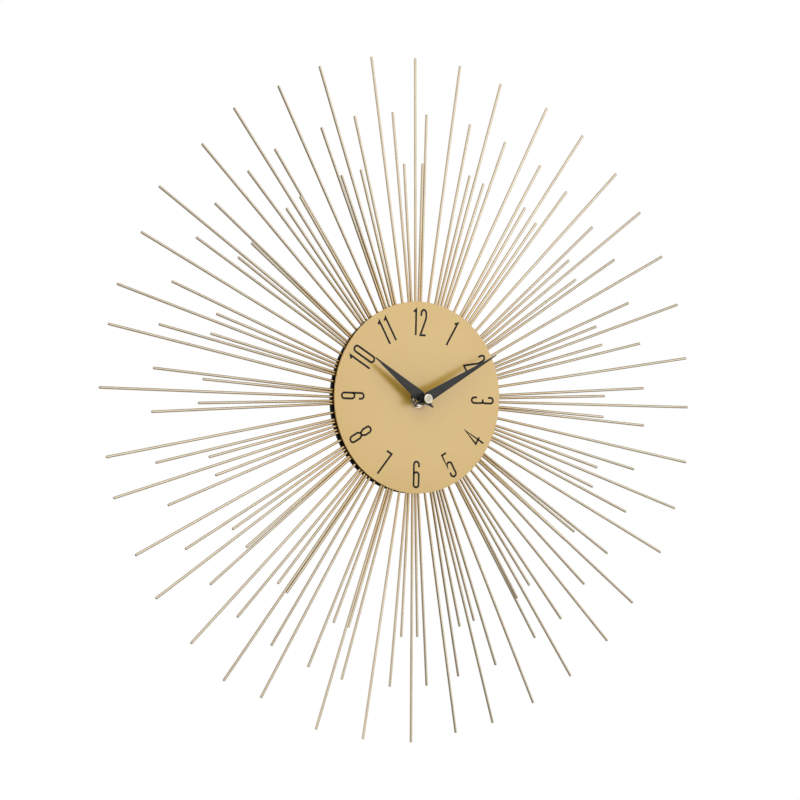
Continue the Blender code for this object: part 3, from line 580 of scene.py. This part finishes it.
# ---- Hub ----
# The black moulded disc that everything hangs on. Its raised boss carries the dial, the fans' roots lie
# on its lower rim, and twenty thin ribs stiffen the hollowed back.
HUB_AT = (-2.0, -0.5)
HUB_RADIUS, BOSS_RADIUS, HUB_HOLE = 69.5, 49.5, 7.0
HUB_BACK, HUB_RIM, HUB_BOSS = 18.7, 21.0, 24.4
hub_profile = [(BOSS_RADIUS, HUB_BOSS), (BOSS_RADIUS, HUB_RIM), (HUB_RADIUS, HUB_RIM), (HUB_RADIUS, HUB_BACK),
               (HUB_RADIUS - 3.0, HUB_BACK), (HUB_RADIUS - 3.4, HUB_BACK + 1.1), (19.4, HUB_BACK + 1.1),
               (19.0, HUB_BACK), (HUB_HOLE, HUB_BACK), (HUB_HOLE, HUB_BOSS)]
hub = turned("hub disc", rounded(hub_profile, 0.4), HUB_AT, 240)
ribs = []
for n in range(20):
    rib = plate(f"hub rib {n}", [rounded_box(18.9, HUB_RADIUS - 2.9, -0.6, 0.6, 0.3)], HUB_BACK + 0.05,
                HUB_BACK + 1.4, 0.2)
    rib.matrix_basis = Matrix.Translation((HUB_AT[0] * MM, HUB_AT[1] * MM, 0)) @ Matrix.Rotation(
        math.radians(18 * n + 9), 4, "Z")
    ribs.append(rib)
hub_plastic = spark_textured("hub moulding, black", (0.005, 0.005, 0.005), 0.45, 4.0)
hub_plastic.node_tree.nodes["Principled BSDF"].inputs["Specular IOR Level"].default_value = 0.2
fit(join("hub", [hub, *ribs]), "clock", hub_plastic, "black_hub", "backing_disc")

# ---- Ray fans ----
# Twenty fans of six straight steel rods, five close together and one long one apart, brazed side by side
# to a short curved strip and lacquered gold. The rods lean back a little towards the wall, and no two
# lie quite true.
DIAL_FRONT, DIAL_RADIUS = 25.7, 71.0
ROD_RADIUS, ROOT_RADIUS, RIM_DROP = 1.0, 52.5, 3.3
FANS, FAN_PITCH = 20, 18.0
RODS = {
    "medium_left": (-4.2, 212.5, 11.0), "short_left": (-2.4, 175.0, 7.7), "long": (0.0, 254.0, 11.2),
    "short_right": (2.4, 175.0, 7.7), "medium_right": (4.2, 212.5, 11.0), "lone_long": (9.0, 253.0, 7.5),
}  # degrees from the fan's axis, tip radius, drop of the tip behind the dial's face
FAN_LEAN = {0: -0.7, 10: -1.3, 16: -0.9, 18: -0.6}
BENT = {
    (0, "long"): 1.0, (0, "medium_right"): -0.9, (6, "lone_long"): -1.4, (7, "short_right"): -1.5,
    (8, "medium_right"): -1.3, (9, "lone_long"): -1.8, (10, "long"): -0.8, (11, "long"): -1.3,
    (11, "lone_long"): 1.3, (12, "short_left"): 1.5, (14, "lone_long"): -1.8, (15, "lone_long"): 1.5,
    (17, "long"): -0.9, (18, "medium_right"): -0.6,
}
STRIP_LOW, STRIP_HIGH = 21.3, 22.5
STRIP_INNER, STRIP_OUTER = 52.0, 62.0
STRIP_DEG = (-6.9, -3.4, 0.0, 3.6, 7.2, 10.7)
BEAD_HALF = (1.25, 0.45, 4.2)
ASTRAY_DEG, ASTRAY_LENGTH = 0.3, 1.2
# How far past the dial's rim the painted shade on the rods fades out, in mm.
DIAL_SHADE_REACH = 75


def polar(radius, clock_deg, height=0.0):
    """A point about the hub's middle, at a clock angle from 12 going clockwise."""
    a = math.radians(clock_deg)
    return Vector((HUB_AT[0] + radius * math.sin(a), HUB_AT[1] + radius * math.cos(a), height))


def ray_gold():
    """Pale gold lacquer over drawn wire: smooth, a little uneven, with the dial's shade and reflection
    painted in as darker amber near it.
    """
    made, tree, shader, where = new_finish("ray gold lacquer", (0.55, 0.42, 0.22), 0.75, 0.3)
    shader.inputs["Specular Tint"].default_value = (0.3, 0.2, 0.1, 1)
    shader.inputs["Coat Weight"].default_value = 1.0
    shader.inputs["Coat IOR"].default_value = 1.9
    shader.inputs["Coat Roughness"].default_value = 0.12
    middle = tree.nodes.new("ShaderNodeVectorMath")
    middle.operation = "SUBTRACT"
    middle.inputs[1].default_value = (*HUB_AT, 0)
    tree.links.new(where, middle.inputs[0])
    split = tree.nodes.new("ShaderNodeSeparateXYZ")
    tree.links.new(middle.outputs["Vector"], split.inputs["Vector"])
    flat = tree.nodes.new("ShaderNodeCombineXYZ")
    tree.links.new(split.outputs["X"], flat.inputs["X"])
    tree.links.new(split.outputs["Y"], flat.inputs["Y"])
    reach = tree.nodes.new("ShaderNodeVectorMath")
    reach.operation = "LENGTH"
    tree.links.new(flat.outputs["Vector"], reach.inputs[0])
    # Painted shade and reflection: the rods are coloured darker amber at the dial's rim, fading to pale gold
    # further out.
    outward = between(tree, reach.outputs["Value"], 0, 1, DIAL_RADIUS, DIAL_RADIUS + DIAL_SHADE_REACH)
    painted_dial_shade_to_pale = tint(tree, outward, (0.36, 0.23, 0.07), (0.43, 0.355, 0.23), 0.0, 1.0)
    uneven = tint(tree, noise(tree, where, 0.05, 4.0), (0.88, 0.86, 0.82), (1, 1, 1))
    tree.links.new(multiplied(tree, painted_dial_shade_to_pale, uneven), shader.inputs["Base Color"])
    tree.links.new(between(tree, noise(tree, where, 0.12, 4.0), 0.16, 0.25), shader.inputs["Roughness"])
    raise_grain(tree, shader, noise(tree, where, 0.2, 2.0), 0.02, 0.06)
    return made


def rod_of(root, tip, sides=14, chamfer=0.25):
    """A straight rod with a small chamfer at each sawn end."""
    along = tip - root
    length = along.length
    stand = Matrix.Translation(root * MM) @ along.to_track_quat("Z", "Y").to_matrix().to_4x4()
    work = bmesh.new()
    rings = []
    for radius, z in ((ROD_RADIUS - chamfer, 0), (ROD_RADIUS, chamfer), (ROD_RADIUS, length - chamfer),
                      (ROD_RADIUS - chamfer, length)):
        turns = [2 * math.pi * i / sides for i in range(sides)]
        spots = [Vector((radius * math.cos(a) * MM, radius * math.sin(a) * MM, z * MM)) for a in turns]
        rings.append([work.verts.new(stand @ spot) for spot in spots])
    for lower, upper in zip(rings, rings[1:]):
        for i in range(sides):
            j = (i + 1) % sides
            work.faces.new((lower[i], lower[j], upper[j], upper[i]))
    work.faces.new(list(reversed(rings[0])))
    work.faces.new(rings[-1])
    for face in work.faces:
        face.smooth = len(face.verts) == 4
    for spots in rings:
        for vert in spots:
            for edge in vert.link_edges:
                edge.smooth = not (edge.verts[0] in spots and edge.verts[1] in spots)
    return work


def bead_of(root, tip, at=6.0):
    """The braze that runs along a rod's foot, where it meets the strip."""
    toward = (tip - root).normalized()
    spot = root + toward * at
    work = bmesh.new()
    bmesh.ops.create_uvsphere(work, u_segments=14, v_segments=8, radius=1.0)
    size = Matrix.Diagonal((*BEAD_HALF, 1))
    lie = toward.to_track_quat("Z", "Y").to_matrix().to_4x4()
    stand = Matrix.Translation((spot.x, spot.y, STRIP_HIGH + 0.1)) @ lie
    work.transform(Matrix.Scale(MM, 4) @ stand @ size)
    for face in work.faces:
        face.smooth = True
    return work


rod_gold = ray_gold()
hand_work = random.Random(7)
for fan in range(FANS):
    pieces = []
    sweep = [fan * FAN_PITCH + d for d in STRIP_DEG]
    band = [tuple(polar(STRIP_OUTER, d))[:2] for d in sweep]
    band += [tuple(polar(STRIP_INNER, d))[:2] for d in reversed(sweep)]
    pieces.append(plate(f"fan strip {fan}", [rounded(band, 0.5)], STRIP_LOW, STRIP_HIGH, 0.2))
    for kind, (offset, reach, drop) in RODS.items():
        astray = hand_work.gauss(0, ASTRAY_DEG)
        longer = hand_work.gauss(0, ASTRAY_LENGTH)
        root_deg = fan * FAN_PITCH + offset
        tip_deg = root_deg + FAN_LEAN.get(fan, 0.0) + BENT.get((fan, kind), 0.0) + astray
        slope = (drop - RIM_DROP) / (reach - DIAL_RADIUS)
        root_z = DIAL_FRONT - RIM_DROP + slope * (DIAL_RADIUS - ROOT_RADIUS)
        root = polar(ROOT_RADIUS, root_deg, root_z)
        tip = polar(reach + longer, tip_deg, DIAL_FRONT - drop)
        for work in (rod_of(root, tip), bead_of(root, tip)):
            mesh = bpy.data.meshes.new(f"{kind} {fan}")
            work.to_mesh(mesh)
            work.free()
            pieces.append(object_of(mesh.name, mesh))
    fit(join(f"fan_{fan + 1:02d}", pieces), "clock", rod_gold, "ray_gold", f"ray_fan_{fan + 1:02d}")

# ---- Dial ----
# A disc of 1 mm sheet metal with a smooth satin gold lacquer, its edge left thin and slightly rounded.
# It lies on the hub's boss, over the fans' roots, and the clamp nut holds it.
DIAL_SHIFT = (0.0, 1.0)
DIAL_THICK, DIAL_HOLE = 1.0, 5.2


def dial_gold():
    """Satin gold lacquer: warm pigment under a soft gloss, faintly cloudy, with a little orange peel."""
    made, tree, shader, where = new_finish("dial gold lacquer", (0.52, 0.315, 0.028), 0.0, 0.5)
    shader.inputs["Coat Weight"].default_value = 1.0
    shader.inputs["Coat Roughness"].default_value = 0.27
    shader.inputs["Coat IOR"].default_value = 1.62
    clouds = noise(tree, where, 0.03, 5.0)
    golds = tint(tree, clouds, (0.5, 0.296, 0.025), (0.515, 0.312, 0.031))
    tree.links.new(golds, shader.inputs["Base Color"])
    tree.links.new(between(tree, noise(tree, where, 1.5, 3.0), 0.42, 0.55), shader.inputs["Roughness"])
    raise_grain(tree, shader, noise(tree, where, 1.2, 4.0), 0.02, 0.15)
    return made


dial_back = DIAL_FRONT - DIAL_THICK
dial_profile = [(DIAL_RADIUS, DIAL_FRONT), (DIAL_RADIUS, dial_back), (DIAL_HOLE, dial_back),
                (DIAL_HOLE, DIAL_FRONT)]
dial = turned("dial", rounded(dial_profile, 0.15), DIAL_SHIFT, 256)
fit(dial, "clock", dial_gold(), "dial_gold", "dial_plate")

# ---- Numerals ----
# Twelve tall condensed numbers in thick black screen ink, each standing up from the dial by a hair. Those
# on the upper half have their tops outward, those on the lower half their tops towards the middle.
INK_THICK, NUMERAL_RING, STROKE = 0.08, 56.0, 1.5
NUMERAL_MIDDLE = (0.1, 0.6)


def arch(centre, rx, ry, start_deg, end_deg, steps=14):
    """Points along part of an ellipse."""
    points = []
    for i in range(steps + 1):
        a = math.radians(start_deg + (end_deg - start_deg) * i / steps)
        points.append((centre[0] + rx * math.cos(a), centre[1] + ry * math.sin(a)))
    return points


def one(x=0.3):
    """A 1 whose stem stands at x."""
    return [(x - 2.0, 7.7), (x, 9.5), (x, -9.6)]


def two(x=0.0):
    """A 2 about x, round at the top and flat at the foot."""
    top = arch((x + 0.3, 6.6), 2.1, 2.8, 170, 0)
    return [(x - 1.85, 4.8), *top, (x + 2.4, 3.6), (x + 2.0, 2.0), (x - 2.4, -9.4), (x + 2.3, -9.4)]


def slot(x, half, top, bottom):
    """A closed upright loop with round ends."""
    return arch((x, top - half), half, half, 0, 180) + arch((x, bottom + half), half, half, 180, 360)


THREE = [(-1.95, 5.0), *arch((0.15, 7.0), 2.1, 2.4, 180, 0), (2.25, 2.6),
         *arch((1.0, 2.0), 1.25, 1.7, 0, -80, 6), (-0.6, 0.3)]
THREE_FOOT = [*arch((1.0, -1.5), 1.25, 1.7, 80, 0, 6), *arch((0.15, -7.0), 2.1, 2.4, 0, -180), (-1.95, -4.8)]
FOUR = [(2.8, -4.6), (-2.9, -4.6), (0.9, 8.6), (0.9, -10.0)]
FIVE = [(1.8, 8.8), (-2.3, 8.8), (-2.3, -1.6), *arch((0.0, -0.4), 2.2, 1.9, 150, 0),
        *arch((0.05, -7.8), 2.15, 2.2, 0, -180), (-2.05, -5.8)]
SIX_HEAD = [(1.9, 4.8), (1.9, 6.9), *arch((-0.25, 6.9), 2.15, 2.1, 0, 180)]
SIX_BOWL = arch((-0.25, -0.8), 2.15, 2.0, 0, 180) + arch((-0.25, -8.0), 2.15, 2.0, 180, 360)
SEVEN = [(-2.7, 8.9), (2.1, 8.9), (-0.75, -9.6)]
EIGHT_HEAD = arch((0, 7.3), 2.3, 2.3, 0, 180) + [(-2.3, 3.2), (-0.9, 0.6), (0.9, 0.6), (2.3, 3.2)]
EIGHT_FOOT = [(0.9, 0.6), (-0.9, 0.6), (-2.3, -1.6)] + arch((0, -7.2), 2.3, 2.3, 180, 360) + [(2.3, -1.6)]
NINE_BOWL = arch((0.2, 6.9), 2.1, 2.1, 0, 180) + arch((0.2, 0.3), 2.1, 2.0, 180, 360)
NINE_TAIL = [(2.3, 0.4), *arch((0.2, -7.4), 2.1, 2.1, 0, -180), (-1.9, -5.4)]
GLYPHS = {
    1: [(one(), False)],
    2: [(two(), False)],
    3: [(THREE, False), (THREE_FOOT, False)],
    4: [(FOUR, False)],
    5: [(FIVE, False)],
    6: [(SIX_HEAD + [(-2.4, -0.8)], False), (SIX_BOWL, True)],
    7: [(SEVEN, False)],
    8: [(EIGHT_HEAD, True), (EIGHT_FOOT, True)],
    9: [(NINE_BOWL, True), (NINE_TAIL, False)],
    10: [(one(-3.3), False), (slot(3.5, 2.3, 9.5, -9.5), True)],
    11: [(one(-2.05), False), (one(3.8), False)],
    12: [(one(-3.2), False), (two(3.1), False)],
}


def ribbon(line, closed):
    """The outlines of a stroke of even width along a line, with mitred corners and square ends."""
    count = len(line)
    left, right = [], []
    for i, (x, y) in enumerate(line):
        here = Vector((x, y))
        before = here - Vector(line[i - 1]) if closed or i else None
        after = Vector(line[(i + 1) % count]) - here if closed or i < count - 1 else None
        ways = [way.normalized() for way in (before, after) if way is not None and way.length > 1e-6]
        way = sum(ways, Vector((0, 0))).normalized()
        normal = Vector((-way.y, way.x))
        stretch = min(1 / max(normal.dot(Vector((-ways[0].y, ways[0].x))), 0.2), 2.4)
        left.append(tuple(here + normal * STROKE / 2 * stretch))
        right.append(tuple(here - normal * STROKE / 2 * stretch))
    return [left, right] if closed else [left + right[::-1]]


def ink():
    """Screen-printed black ink: satin, with a very fine tooth and slightly uneven cover."""
    made, tree, shader, where = new_finish("numeral ink", (0.012, 0.011, 0.01), 0.0, 0.45)
    cover = noise(tree, where, 1.0, 4.0)
    blacks = tint(tree, cover, (0.01, 0.009, 0.008), (0.022, 0.02, 0.017))
    tree.links.new(blacks, shader.inputs["Base Color"])
    tree.links.new(between(tree, cover, 0.38, 0.55), shader.inputs["Roughness"])
    raise_grain(tree, shader, noise(tree, where, 6.0, 2.0), 0.01, 0.4)
    shader.inputs["Specular IOR Level"].default_value = 0.1
    return made


numeral_ink = ink()
for number, strokes in GLYPHS.items():
    a = math.radians(30 * number)
    facing = -30 * number + (180 if 3 < number < 9 else 0)
    spot = Vector((NUMERAL_MIDDLE[0] + NUMERAL_RING * math.sin(a),
                   NUMERAL_MIDDLE[1] + NUMERAL_RING * math.cos(a), DIAL_FRONT - 0.01)) * MM
    turn = Matrix.Rotation(math.radians(facing), 4, "Z")
    printed = []
    for n, (line, closed) in enumerate(strokes):
        stroke = plate(f"stroke {number} {n}", ribbon(line, closed), 0, INK_THICK, 0.015)
        stroke.matrix_basis = Matrix.Translation(spot) @ turn
        printed.append(stroke)
    fit(join(f"numeral_{number:02d}", printed), "clock", numeral_ink, "hand_black")

# ---- Washer and clamp nut ----
# A thin polished washer and a chromed hexagon nut with a crowned face, screwed down on the bushing to
# clamp the dial, the fans and the hub to the movement.
WASHER_LOW, WASHER_THICK, WASHER_RADIUS, WASHER_BORE = DIAL_FRONT + 0.1, 0.5, 6.6, 4.2
NUT_FLATS, NUT_THICK, NUT_TURN, NUT_BORE = 11.0, 2.6, 12, 4.08
chrome = brushed("chrome plate", (0.46, 0.42, 0.35), 0.2, (1.0, 1.0, 4.0), 1.5, (0.38, 0.33, 0.26))
washer = [(WASHER_RADIUS, WASHER_LOW + WASHER_THICK), (WASHER_RADIUS, WASHER_LOW),
          (WASHER_BORE, WASHER_LOW), (WASHER_BORE, WASHER_LOW + WASHER_THICK)]
fit(turned("washer", rounded(washer, 0.12)), "clock", chrome, "chrome", "front_washer")
nut_low = WASHER_LOW + 0.6
nut_high = nut_low + NUT_THICK
corner_radius = NUT_FLATS / 2 / math.cos(math.pi / 6)
corners = arc((0, 0), corner_radius, NUT_TURN, NUT_TURN + 300, 5)
hexagon = plate("hexagon", [corners], nut_low, nut_high, 0.05)
crown = turned("crown", [(0, nut_low - 1), (corner_radius, nut_low - 1), (corner_radius, nut_high - 0.55),
                         (NUT_FLATS / 2 - 0.25, nut_high), (0, nut_high)], steps=96, closed=False)
bore = turned("nut bore", [(0, nut_high + 1), (4.7, nut_high + 0.3), (NUT_BORE, nut_high - 0.3),
                           (NUT_BORE, nut_low - 2), (0, nut_low - 2)], steps=72, closed=False)
nut = cut(cut(hexagon, [crown], "INTERSECT"), [bore])
fit(soften(nut, 0.12, 25), "clock", chrome, "chrome", "fixing_nut")

# ---- Hands and cap ----
# Two blades stamped from thin steel and painted satin black, each riveted to a black collet that grips its
# shaft. A round cap nut holds them, with a turned silver face; its side is painted black as a dark
# reflection.
MINUTE_Z, HOUR_Z, HAND_THICK, CAP_TOP = 36.0, 33.4, 0.5, 41.1
MINUTE_TURN = 60.8
TIP_HALF, TAIL_HALF = 0.28, 0.4


def hand_paint():
    """Satin black paint over steel, with a fine tooth."""
    made, tree, shader, where = new_finish("hand paint, satin black", (0.013, 0.0125, 0.012), 0.0, 0.48)
    drift = noise(tree, where, 0.2, 4.0)
    blacks = tint(tree, drift, (0.01, 0.0098, 0.0095), (0.017, 0.0165, 0.016))
    tree.links.new(blacks, shader.inputs["Base Color"])
    tree.links.new(between(tree, noise(tree, where, 4.0, 3.0), 0.36, 0.5), shader.inputs["Roughness"])
    raise_grain(tree, shader, noise(tree, where, 3.0, 3.0), 0.015, 0.3)
    shader.inputs["Specular IOR Level"].default_value = 0.25
    return made


def hand(name, length, tail, widest, half, hole, height, turn, collet):
    """A spear blade, half wide at its widest height, on a collet of (bore, outer radius, foot)."""
    edge = [(TIP_HALF, length), (half, widest), (TAIL_HALF, -tail), (-TAIL_HALF, -tail), (-half, widest),
            (-TIP_HALF, length)]
    low = height - HAND_THICK / 2
    blade = plate(f"{name} blade", [edge, ring((0, 0), hole, 36)], low, low + HAND_THICK, 0.05)
    blade.matrix_basis = Matrix.Rotation(-math.radians(turn), 4, "Z")
    bore_radius, outer, foot = collet
    sleeve = turned(f"{name} collet", rounded([(outer, low + 0.1), (outer, foot), (bore_radius, foot),
                                               (bore_radius, low + 0.1)], 0.15), steps=64)
    return join(name, [blade, sleeve])


satin_black = hand_paint()
hour_turn = 300 + MINUTE_TURN / 12
hour = hand("hour_blade", 51.0, 10.5, 4.0, 4.2, 2.55, HOUR_Z, hour_turn, (2.55, 3.5, 31.2))
fit(hour, "hour_hand", satin_black, "hand_black", "hour_hand")
minute = hand("minute_blade", 70.0, 9.2, 3.0, 3.9, 1.55, MINUTE_Z, MINUTE_TURN, (1.8, 2.9, 34.5))
fit(minute, "minute_hand", satin_black, "hand_black", "minute_hand")

cap_low = MINUTE_Z + HAND_THICK / 2 + 0.1
CAP_RADIUS, CAP_BORE = 3.6, 1.47
cap_side = [(2.0, CAP_TOP - 0.5), (3.4, CAP_TOP - 0.5), (CAP_RADIUS, CAP_TOP - 0.7), (CAP_RADIUS, cap_low),
            (CAP_BORE, cap_low), (CAP_BORE, CAP_TOP - 1.5), (2.0, CAP_TOP - 1.5)]
# Painted reflection: the cap's side takes the hands' satin black for the dark reflection it shows.
cap_side_painted_black = turned("cap_side_painted_black", rounded(cap_side, 0.1), steps=96)
fit(cap_side_painted_black, "minute_hand", satin_black, "hand_black", "hand_cap")
cap_face = [(0, CAP_TOP - 0.25), (2.6, CAP_TOP - 0.25), (2.6, CAP_TOP - 0.6), (0, CAP_TOP - 0.6)]
cap_rim = [(2.5, CAP_TOP - 0.2), (2.75, CAP_TOP), (3.1, CAP_TOP), (3.5, CAP_TOP - 0.3),
           (3.55, CAP_TOP - 0.6), (2.5, CAP_TOP - 0.6)]
silver = brushed("turned silver", (0.4, 0.37, 0.3), 0.5, (1.0, 1.0, 5.0), 1.5, (0.35, 0.325, 0.26))
polished = brushed("polished silver", (0.62, 0.57, 0.47), 0.35, (1.0, 1.0, 5.0), 1.5, (0.56, 0.51, 0.42))
cap_disc = turned("cap_face", rounded(cap_face, 0.1, False), steps=96, closed=False)
fit(cap_disc, "minute_hand", silver, "cap_silver")
fit(turned("cap_rim", rounded(cap_rim, 0.12)), "minute_hand", polished, "cap_silver")

# ---- Floor, light and camera ----
# A plain pale floor under the clock and a soft studio: a bright surround, dimmer behind the clock, one
# large soft light at the front right whose reflection lies in the dial's gloss, and one above.
floor = bpy.data.meshes.new("studio floor")
FLOOR_Z, FLOOR_HALF = -1.4, 2.5
floor_corners = [(x * FLOOR_HALF, y * FLOOR_HALF, FLOOR_Z) for x, y in ((-1, -1), (1, -1), (1, 1), (-1, 1))]
floor.from_pydata(floor_corners, [], [(0, 1, 2, 3)])
paint, tree, shader, where = new_finish("pale studio floor", (0.75, 0.745, 0.74), 0.0, 0.6)
mottle = tint(tree, noise(tree, where, 0.004, 4.0), (0.72, 0.715, 0.71), (0.78, 0.775, 0.77))
tree.links.new(mottle, shader.inputs["Base Color"])
raise_grain(tree, shader, noise(tree, where, 0.3, 4.0), 0.2, 0.2)
floor.materials.append(paint)
object_of("studio_floor", floor)


def softbox(name, place, size, watts):
    """A rectangular soft light aimed at the clock's middle."""
    lamp = bpy.data.lights.new(name, "AREA")
    lamp.shape = "RECTANGLE"
    lamp.size, lamp.size_y = size
    lamp.energy = watts
    made = bpy.data.objects.new(name, lamp)
    bpy.context.scene.collection.objects.link(made)
    towards = -Vector(place)
    made.matrix_world = Matrix.Translation(place) @ towards.to_track_quat("-Z", "Y").to_matrix().to_4x4()


softbox("key softbox", (1.35, -2.25, 0.1), (1.6, 1.6), 13.5)
softbox("upper softbox", (-0.4, -1.5, 1.7), (2.0, 1.6), 14)

sky = bpy.data.worlds.new("studio surround")
bpy.context.scene.world = sky
sky.use_nodes = True
air = sky.node_tree
around = air.nodes.new("ShaderNodeTexCoord")
parts = air.nodes.new("ShaderNodeSeparateXYZ")
air.links.new(around.outputs["Generated"], parts.inputs["Vector"])
rays = air.nodes.new("ShaderNodeLightPath")


def product(first, second):
    """Two of the surround's factors, multiplied."""
    times = air.nodes.new("ShaderNodeMath")
    times.operation = "MULTIPLY"
    air.links.new(first, times.inputs[0])
    air.links.new(second, times.inputs[1])
    return times.outputs["Value"]


overhead = between(air, parts.outputs["Z"], 1.2, 0.65, 0.2, 0.8)
underfoot = between(air, parts.outputs["Z"], 0.1, 1.0, -0.35, -0.05)
round_about = product(overhead, underfoot)
behind = air.nodes.new("ShaderNodeMix")
behind.data_type = "FLOAT"
air.links.new(rays.outputs["Is Glossy Ray"], behind.inputs["Factor"])
air.links.new(between(air, parts.outputs["Y"], 0.9, 0.4, -0.05, 0.45), behind.inputs["A"])
air.links.new(between(air, parts.outputs["Y"], 1.2, 0.95, -0.3, 0.3), behind.inputs["B"])
combined = product(round_about, behind.outputs["Result"])
seen = air.nodes.new("ShaderNodeMix")
seen.data_type = "FLOAT"
seen.inputs["B"].default_value = 1.0
air.links.new(rays.outputs["Is Camera Ray"], seen.inputs["Factor"])
air.links.new(combined, seen.inputs["A"])
air.links.new(seen.outputs["Result"], air.nodes["Background"].inputs["Strength"])
air.nodes["Background"].inputs["Color"].default_value = (1, 1, 1, 1)
bpy.context.scene.view_settings.view_transform = "Standard"

SENSOR_WIDTH, FOCAL_LENGTH, FAR_CLIP = 36.0, 158.6, 20.0
YAW, PITCH, ROLL = 0.535, -0.0201, -0.0211
CAMERA_OFFSET = (-13.33, -1.82, 2605.7)
lens = bpy.data.cameras.new("camera")
lens.sensor_width = SENSOR_WIDTH
lens.lens = FOCAL_LENGTH
lens.clip_end = FAR_CLIP
facing = Matrix.Rotation(ROLL, 3, "Z") @ Matrix.Rotation(PITCH, 3, "X") @ Matrix.Rotation(YAW, 3, "Y")
stand = STAND.to_3x3()
dial_middle = Vector((*DIAL_SHIFT, DIAL_FRONT)) * MM
seat = stand @ (dial_middle + facing.transposed() @ Vector(CAMERA_OFFSET) * MM)
camera = bpy.data.objects.new("camera", lens)
bpy.context.scene.collection.objects.link(camera)
camera.matrix_world = Matrix.Translation(seat) @ (stand @ facing.transposed()).to_4x4()
bpy.context.scene.camera = camera
